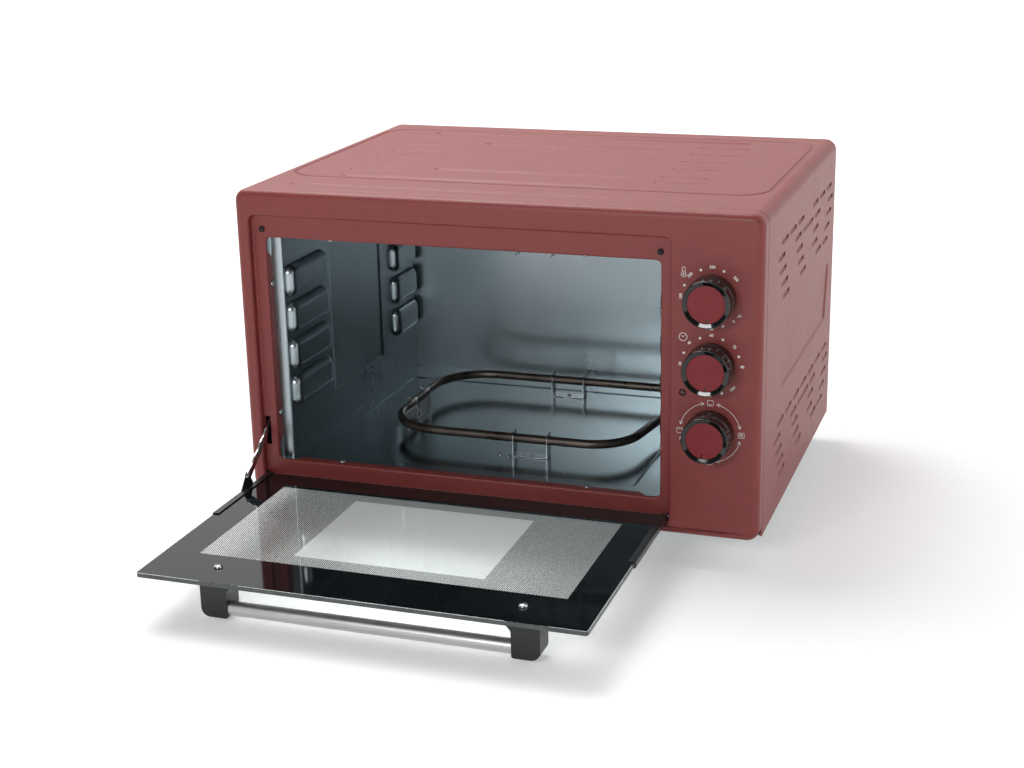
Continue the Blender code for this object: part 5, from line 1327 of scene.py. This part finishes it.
def make_knob(name, level):
    """A gloss knob whose rim slopes in to a red disc with a pointer slit."""
    body = f"{name}_dial"
    front = -25.75
    rim = filleted([(-24.0, 17.3), (front + 1.3, 17.5, 0.3), (front, 21.1, 0.6), (front + 0.9, 21.75, 0.8),
                    (-13.6, 21.8, 0.6), (-13.0, 22.15, 0.4), (-1.5, 22.2)], steps=5)
    profile = [(-24.0, 0.0)] + [tuple(p) for p in rim] + [(-1.5, 21.2), (-1.5, 5.6), (-4.3, 5.6), (-4.3, 3.3),
                                                        (-15.8, 3.3), (-15.8, 0)]
    knob = new_object(f"{name}_knob_body", turned(profile, along_y(KNOB_X, level), 128))
    set_down(knob, body, FINISH["gloss"], [f"{name}_knob"])
    disc_front = front + 1.35
    face = [(disc_front, 0.0), (disc_front + 0.02, 8.0), (disc_front + 0.06, 16.2), (disc_front + 0.2, 17.0),
            (-24.05, 17.2), (-24.05, 0.0)]
    disc = new_object(f"{name}_knob_disc", turned(face, along_y(KNOB_X, level), 128))
    turn = math.radians(POINTER_TURNS[name])
    slit = bmesh.new()
    add_box(slit, (-0.6, -40, -20.0), (0.6, -20, -12.6))
    place = Matrix.Translation((KNOB_X, 0, level)) @ Matrix.Rotation(-turn, 4, "Y")
    bmesh.ops.transform(slit, matrix=place, verts=slit.verts)
    cut(disc, slit)
    set_down(disc, body, FINISH["disc"], [f"{name}_cap"])


INK_BACK = -0.02
INK_FRONT = -0.08


def lettering(name, text, size, x, z, angle=0.0):
    """A word or number as a thin mesh on the front."""
    data = bpy.data.curves.new(name, "FONT")
    data.body = text
    data.size = size
    data.extrude = (INK_BACK - INK_FRONT) / 2
    data.offset = size * 0.035
    data.align_x = "CENTER"
    data.align_y = "CENTER"
    data.resolution_u = 4
    made = bpy.data.objects.new(name, data)
    bpy.context.scene.collection.objects.link(made)
    made = settle(made)
    merged = bmesh.new()
    merged.from_mesh(made.data)
    bmesh.ops.remove_doubles(merged, verts=merged.verts, dist=0.001)
    merged.to_mesh(made.data)
    merged.free()
    place = Matrix.Translation((x, (INK_BACK + INK_FRONT) / 2, z)) @ Matrix.Rotation(-angle, 4, "Y")
    made.data.transform(place @ Matrix.Rotation(math.pi / 2, 4, "X"))
    return made


def flat_line(mesh, points, width):
    """A line of ink of even width on the front, added to a mesh."""
    points = [Vector(p) for p in points]
    sides = ([], [])
    for k, point in enumerate(points):
        ahead = (points[min(k + 1, len(points) - 1)] - points[max(k - 1, 0)]).normalized()
        across = Vector((-ahead.y, ahead.x)) * width / 2
        sides[0].append(point + across)
        sides[1].append(point - across)
    return join_mesh(mesh, strip_solid(sides[0], sides[1]))


def strip_solid(first, second):
    """A thin closed band between two lines of points on the front."""
    mesh = bmesh.new()
    rows = []
    for a, b in zip(first, second):
        rows.append([mesh.verts.new(p) for p in (
            (a.x, INK_FRONT, a.y), (b.x, INK_FRONT, b.y), (b.x, INK_BACK, b.y), (a.x, INK_BACK, a.y))])
    bridge(mesh, rows, caps=True)
    bmesh.ops.recalc_face_normals(mesh, faces=mesh.faces)
    return mesh


def disc_of_ink(mesh, x, z, radius, squash=1.0):
    """Adds a round spot of ink to a mesh."""
    outline = [(x + radius * math.cos(math.tau * k / 24), z + radius * squash * math.sin(math.tau * k / 24))
               for k in range(24)]
    return join_mesh(mesh, prism(outline, "y", INK_FRONT, INK_BACK))


def arc_points(x, z, radius, first, last, steps=24):
    """Points on an arc between two angles in degrees."""
    angles = [math.radians(first + (last - first) * k / steps) for k in range(steps + 1)]
    return [(x + radius * math.cos(a), z + radius * math.sin(a)) for a in angles]


def closed_line(mesh, points, width):
    """Adds a closed line of ink round an outline to a mesh."""
    inner = [Vector(p) for p in points]
    centre = sum(inner, Vector((0, 0))) / len(inner)
    loop = inner + [inner[0]]
    outer = [p + (p - centre).normalized() * width for p in loop]
    return join_mesh(mesh, strip_solid(outer, loop))


def dial_numbers(name, level, ring_radius, labels, size):
    """Words set round a dial, each turned to its angle in degrees."""
    made = []
    for k, (text, degrees) in enumerate(labels):
        angle = math.radians(degrees)
        x = KNOB_X + ring_radius * math.cos(angle)
        z = level + ring_radius * math.sin(angle)
        turn = degrees - 90 if degrees > 10 else (degrees + 90 if degrees < -10 else 0)
        made.append(lettering(f"{name}_{k}", text, size, x, z, math.radians(turn)))
    return made


def joined(name, things):
    """Several plain meshes as one piece."""
    mesh = bmesh.new()
    for thing in things:
        mesh.from_mesh(thing.data)
        bpy.data.objects.remove(thing)
    return new_object(name, mesh)


def make_dial_print():
    """Numbers, dots, arrows and signs printed round the three dials."""
    temperature, timer, selector = KNOB_LEVELS.values()
    words = dial_numbers("temperature_number", temperature, 28.6,
                         [("0", -45), ("50", -90), ("100", -135), ("150", 180), ("200", 135), ("250", 90),
                          ("320", 42)], 3.6)
    words.append(lettering("degree_mark", "°C", 3.4, KNOB_X + 29.5 * math.cos(math.radians(-31)),
                           temperature + 29.5 * math.sin(math.radians(-31)), math.radians(57)))
    words += dial_numbers("timer_number", timer, 28.6,
                          [("ON", -45), ("0", -90), ("15", -135), ("30", 180), ("45", 135), ("60", 90), ("75", 42),
                           ("90", 2)], 3.6)
    numbers = joined("dial_numbers", words)
    set_down(numbers, "case", FINISH["ink"])

    for name, level, first, count in (("temperature", temperature, -67.5, 6), ("timer", timer, 22.5, 7)):
        blank = new_object(f"{name}_dots", bmesh.new())
        step = -45.0 if name == "temperature" else 45.0
        made = run_tree(blank, DIAL_DOTS, Centre=(KNOB_X, (INK_BACK + INK_FRONT) / 2, level), Count=count,
                        **{"Ring radius": 27.4, "First angle": math.radians(first), "Step angle": math.radians(step),
                           "Dot radius": 1.25, "Ink": INK_BACK - INK_FRONT, "Finish": FINISH["ink"]})
        set_down(made, "case", FINISH["ink"])

    marks = bmesh.new()
    radius = 28.4
    for first, last in ((14, 76), (104, 166), (194, 256), (284, 346)):
        flat_line(marks, arc_points(KNOB_X, selector, radius, first, last), 0.45)
        for degrees, way in ((first, 1), (last, -1)):
            tip = Vector(arc_points(KNOB_X, selector, radius, degrees - way * 2, degrees, 1)[0])
            tail_in = Vector(arc_points(KNOB_X, selector, radius - 1.5, degrees + way * 4, degrees, 1)[0])
            tail_out = Vector(arc_points(KNOB_X, selector, radius + 1.5, degrees + way * 4, degrees, 1)[0])
            flat_line(marks, [tail_in, tip], 0.5)
            flat_line(marks, [tip, tail_out], 0.5)

    def sign(x, z, bars):
        box = [(x - 2.6, z - 2.4, 1.0), (x + 2.6, z - 2.4, 1.0), (x + 2.6, z + 2.4, 1.0), (x - 2.6, z + 2.4, 1.0)]
        closed_line(marks, filleted(box, True, 4), 0.42)
        for bar in bars:
            flat_line(marks, [(x - 1.6, z + bar), (x + 1.6, z + bar)], 0.45)

    sign(KNOB_X + radius + 0.6, selector, (-1.2, 0.0, 1.2))
    sign(KNOB_X, selector + radius + 0.2, (-1.5,))
    sign(KNOB_X - radius, selector, (1.3,))
    sign(KNOB_X, selector - radius, ())

    x, z = 187.2, 254.9
    bulb = arc_points(x, z - 2.6, 2.3, -235, 55, 20)
    stem = [(x + 1.3, z + 3.2), *arc_points(x, z + 3.2, 1.3, 0, 180, 10), (x - 1.3, z + 3.2)]
    flat_line(marks, bulb + stem + [bulb[0]], 0.5)
    disc_of_ink(marks, x, z - 2.6, 0.9)
    flat_line(marks, [(x, z - 2.2), (x, z + 0.8)], 0.6)
    x, z = 187.2, 194.1
    flat_line(marks, arc_points(x, z, 3.7, 0, 360, 40), 0.6)
    flat_line(marks, [(x - 1.7, z + 1.5), (x, z - 0.1), (x + 1.7, z + 1.5)], 0.6)
    prints = new_object("dial_marks", marks)
    set_down(prints, "case", FINISH["ink"])


def make_lamp():
    """The lens of the indicator lamp."""
    profile = [(-1.2, 0.0), (-1.17, 1.0), (-1.0, 1.9), (-0.6, 2.7), (0.0, 3.1), (1.4, 3.2), (1.4, 5.5), (19.5, 5.5),
               (19.5, 0.0)]
    lamp = new_object("lamp_lens", turned(profile, along_y(*LAMP), 48))
    set_down(lamp, "case", FINISH["lens"], ["indicator_lamp"])


# ---- CAD nodes that stay

def dress_kept_nodes():
    """Finishes for the solids that stay as they are, and the screws below."""
    kept = {
        "cavity_back_wall": "zinc", "base_plate": "floor_zinc", "terminal_block": "pale", "spring_anchor": "bright",
        "hinge_pin_left": "bright", "hinge_pin_right": "bright",
    }
    for name in KNOB_LEVELS:
        kept[f"{name}_switch"] = "pale"
        kept[f"{name}_shaft"] = "bright"
    for name, finish in kept.items():
        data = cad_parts[name].data
        data.materials.clear()
        data.materials.append(FINISH[finish])
    set_screws("base_screws", "case", [((x, y, 0.75), (0, 0, -1)) for x in (-245, 245) for y in (40, 200, 380)], 1.0)


# ---- Studio

def make_studio():
    """A pale floor, soft lamps and the camera."""
    mesh = bmesh.new()
    bmesh.ops.create_grid(mesh, x_segments=1, y_segments=1, size=8.0)
    floor = new_object("studio_floor", mesh)
    floor.location = (0, 0, 0)
    surface = bpy.data.materials.new("studio_paper")
    surface.use_nodes = True
    tree = surface.node_tree
    shader = tree.nodes["Principled BSDF"]
    shader.inputs["Base Color"].default_value = (0.86, 0.86, 0.86, 1.0)
    shader.inputs["Roughness"].default_value = 0.9
    shader.inputs["Specular IOR Level"].default_value = 0.0
    path = put(tree, "ShaderNodeLightPath")
    seen = put(tree, "ShaderNodeMath", {0: path.outputs["Is Camera Ray"], 1: path.outputs["Is Glossy Ray"]},
               operation="MAXIMUM")
    through = put(tree, "ShaderNodeMath", {0: seen.outputs[0], 1: path.outputs["Is Transmission Ray"]},
                  operation="MAXIMUM")
    place = put(tree, "ShaderNodeTexCoord").outputs["Object"]
    away = put(tree, "ShaderNodeVectorMath", {0: place}, operation="LENGTH")
    level = put(tree, "ShaderNodeMapRange", {
        "Value": away.outputs["Value"], "From Min": 0.5, "From Max": 2.2, "To Min": 0.30, "To Max": 1.0},
        interpolation_type="SMOOTHSTEP")
    glow = put(tree, "ShaderNodeMath", {0: through.outputs[0], 1: level.outputs["Result"]}, operation="MULTIPLY")
    shader.inputs["Emission Color"].default_value = (1.0, 1.0, 1.0, 1.0)
    tree.links.new(glow.outputs[0], shader.inputs["Emission Strength"])
    floor.data.materials.append(surface)

    world = bpy.data.worlds.new("studio_world")
    bpy.context.scene.world = world
    world.use_nodes = True
    tree = world.node_tree
    tree.nodes.clear()
    path = put(tree, "ShaderNodeLightPath")
    way = put(tree, "ShaderNodeSeparateXYZ", {0: put(tree, "ShaderNodeTexCoord").outputs["Generated"]})
    behind = put(tree, "ShaderNodeMapRange", {
        "Value": way.outputs[1], "From Min": -0.55, "From Max": 0.25, "To Min": 0.10, "To Max": 1.0},
        interpolation_type="SMOOTHSTEP")
    share = put(tree, "ShaderNodeMapRange", {"Value": path.outputs["Is Diffuse Ray"], "To Min": 1.0, "To Max": 0.5})
    dimmed = put(tree, "ShaderNodeMath", {0: behind.outputs["Result"], 1: share.outputs["Result"]},
                 operation="MULTIPLY")
    seen = put(tree, "ShaderNodeMath", {0: path.outputs["Is Camera Ray"], 1: path.outputs["Is Transmission Ray"]},
               operation="MAXIMUM")
    around = put(tree, "ShaderNodeBackground", {"Color": (1.0, 1.0, 1.0, 1.0), "Strength": dimmed.outputs[0]})
    white = put(tree, "ShaderNodeBackground", {"Color": (1.0, 1.0, 1.0, 1.0), "Strength": 1.0})
    mix = put(tree, "ShaderNodeMixShader", {0: seen.outputs[0], 1: around.outputs[0], 2: white.outputs[0]})
    put(tree, "ShaderNodeOutputWorld", {"Surface": mix.outputs[0]})

    def softbox(name, place, target, size, power):
        data = bpy.data.lights.new(name, "AREA")
        data.shape = "RECTANGLE"
        data.size, data.size_y = size
        data.energy = power
        lamp = bpy.data.objects.new(name, data)
        lamp.location = place
        lamp.rotation_mode = "QUATERNION"
        lamp.rotation_quaternion = (Vector(target) - Vector(place)).to_track_quat("-Z", "Y")
        bpy.context.scene.collection.objects.link(lamp)

    softbox("overhead_softbox", (-0.65, 0.45, 1.8), (0.0, 0.1, 0.2), (1.4, 1.2), 28)
    softbox("right_softbox", (1.9, -0.1, 0.9), (0.0, 0.0, 0.2), (1.0, 1.2), 7)
    softbox("front_softbox", (-0.12, -1.62, 0.80), (0.1, -0.1, 0.2), (0.62, 0.30), 9)

    data = bpy.data.cameras.new("camera")
    data.lens = 60.15
    data.sensor_width = 36.0
    camera = bpy.data.objects.new("camera", data)
    yaw, pitch, roll = (math.radians(a) for a in (19.346, 17.705, -1.2556))
    ahead = Vector((-math.sin(yaw) * math.cos(pitch), math.cos(yaw) * math.cos(pitch), -math.sin(pitch)))
    level = Vector((math.cos(yaw), math.sin(yaw), 0))
    upright = level.cross(ahead)
    right = math.cos(roll) * level + math.sin(roll) * upright
    up = -math.sin(roll) * level + math.cos(roll) * upright
    place = Matrix.Translation((0.5329, -1.45465 + FRONT, 0.6275 + SHEET_LEVEL))
    camera.matrix_world = place @ Matrix((right, up, -ahead)).transposed().to_4x4()
    data.clip_start = 0.05
    data.clip_end = 60
    bpy.context.scene.collection.objects.link(camera)
    bpy.context.scene.camera = camera
    bpy.context.scene.view_settings.view_transform = "Standard"


make_studio()
make_shell()
make_fascia()
make_back()
make_feet()
make_side_walls()
make_floor_and_roof()
make_heaters()
make_brackets()
make_lip_screws()
make_bumpers()
make_pane()
make_channels()
make_arm()
make_spring()
make_handle()
for knob_name, knob_level in KNOB_LEVELS.items():
    make_knob(knob_name, knob_level)
make_dial_print()
make_lamp()
dress_kept_nodes()
bpy.data.objects.remove(PAN_HEAD)
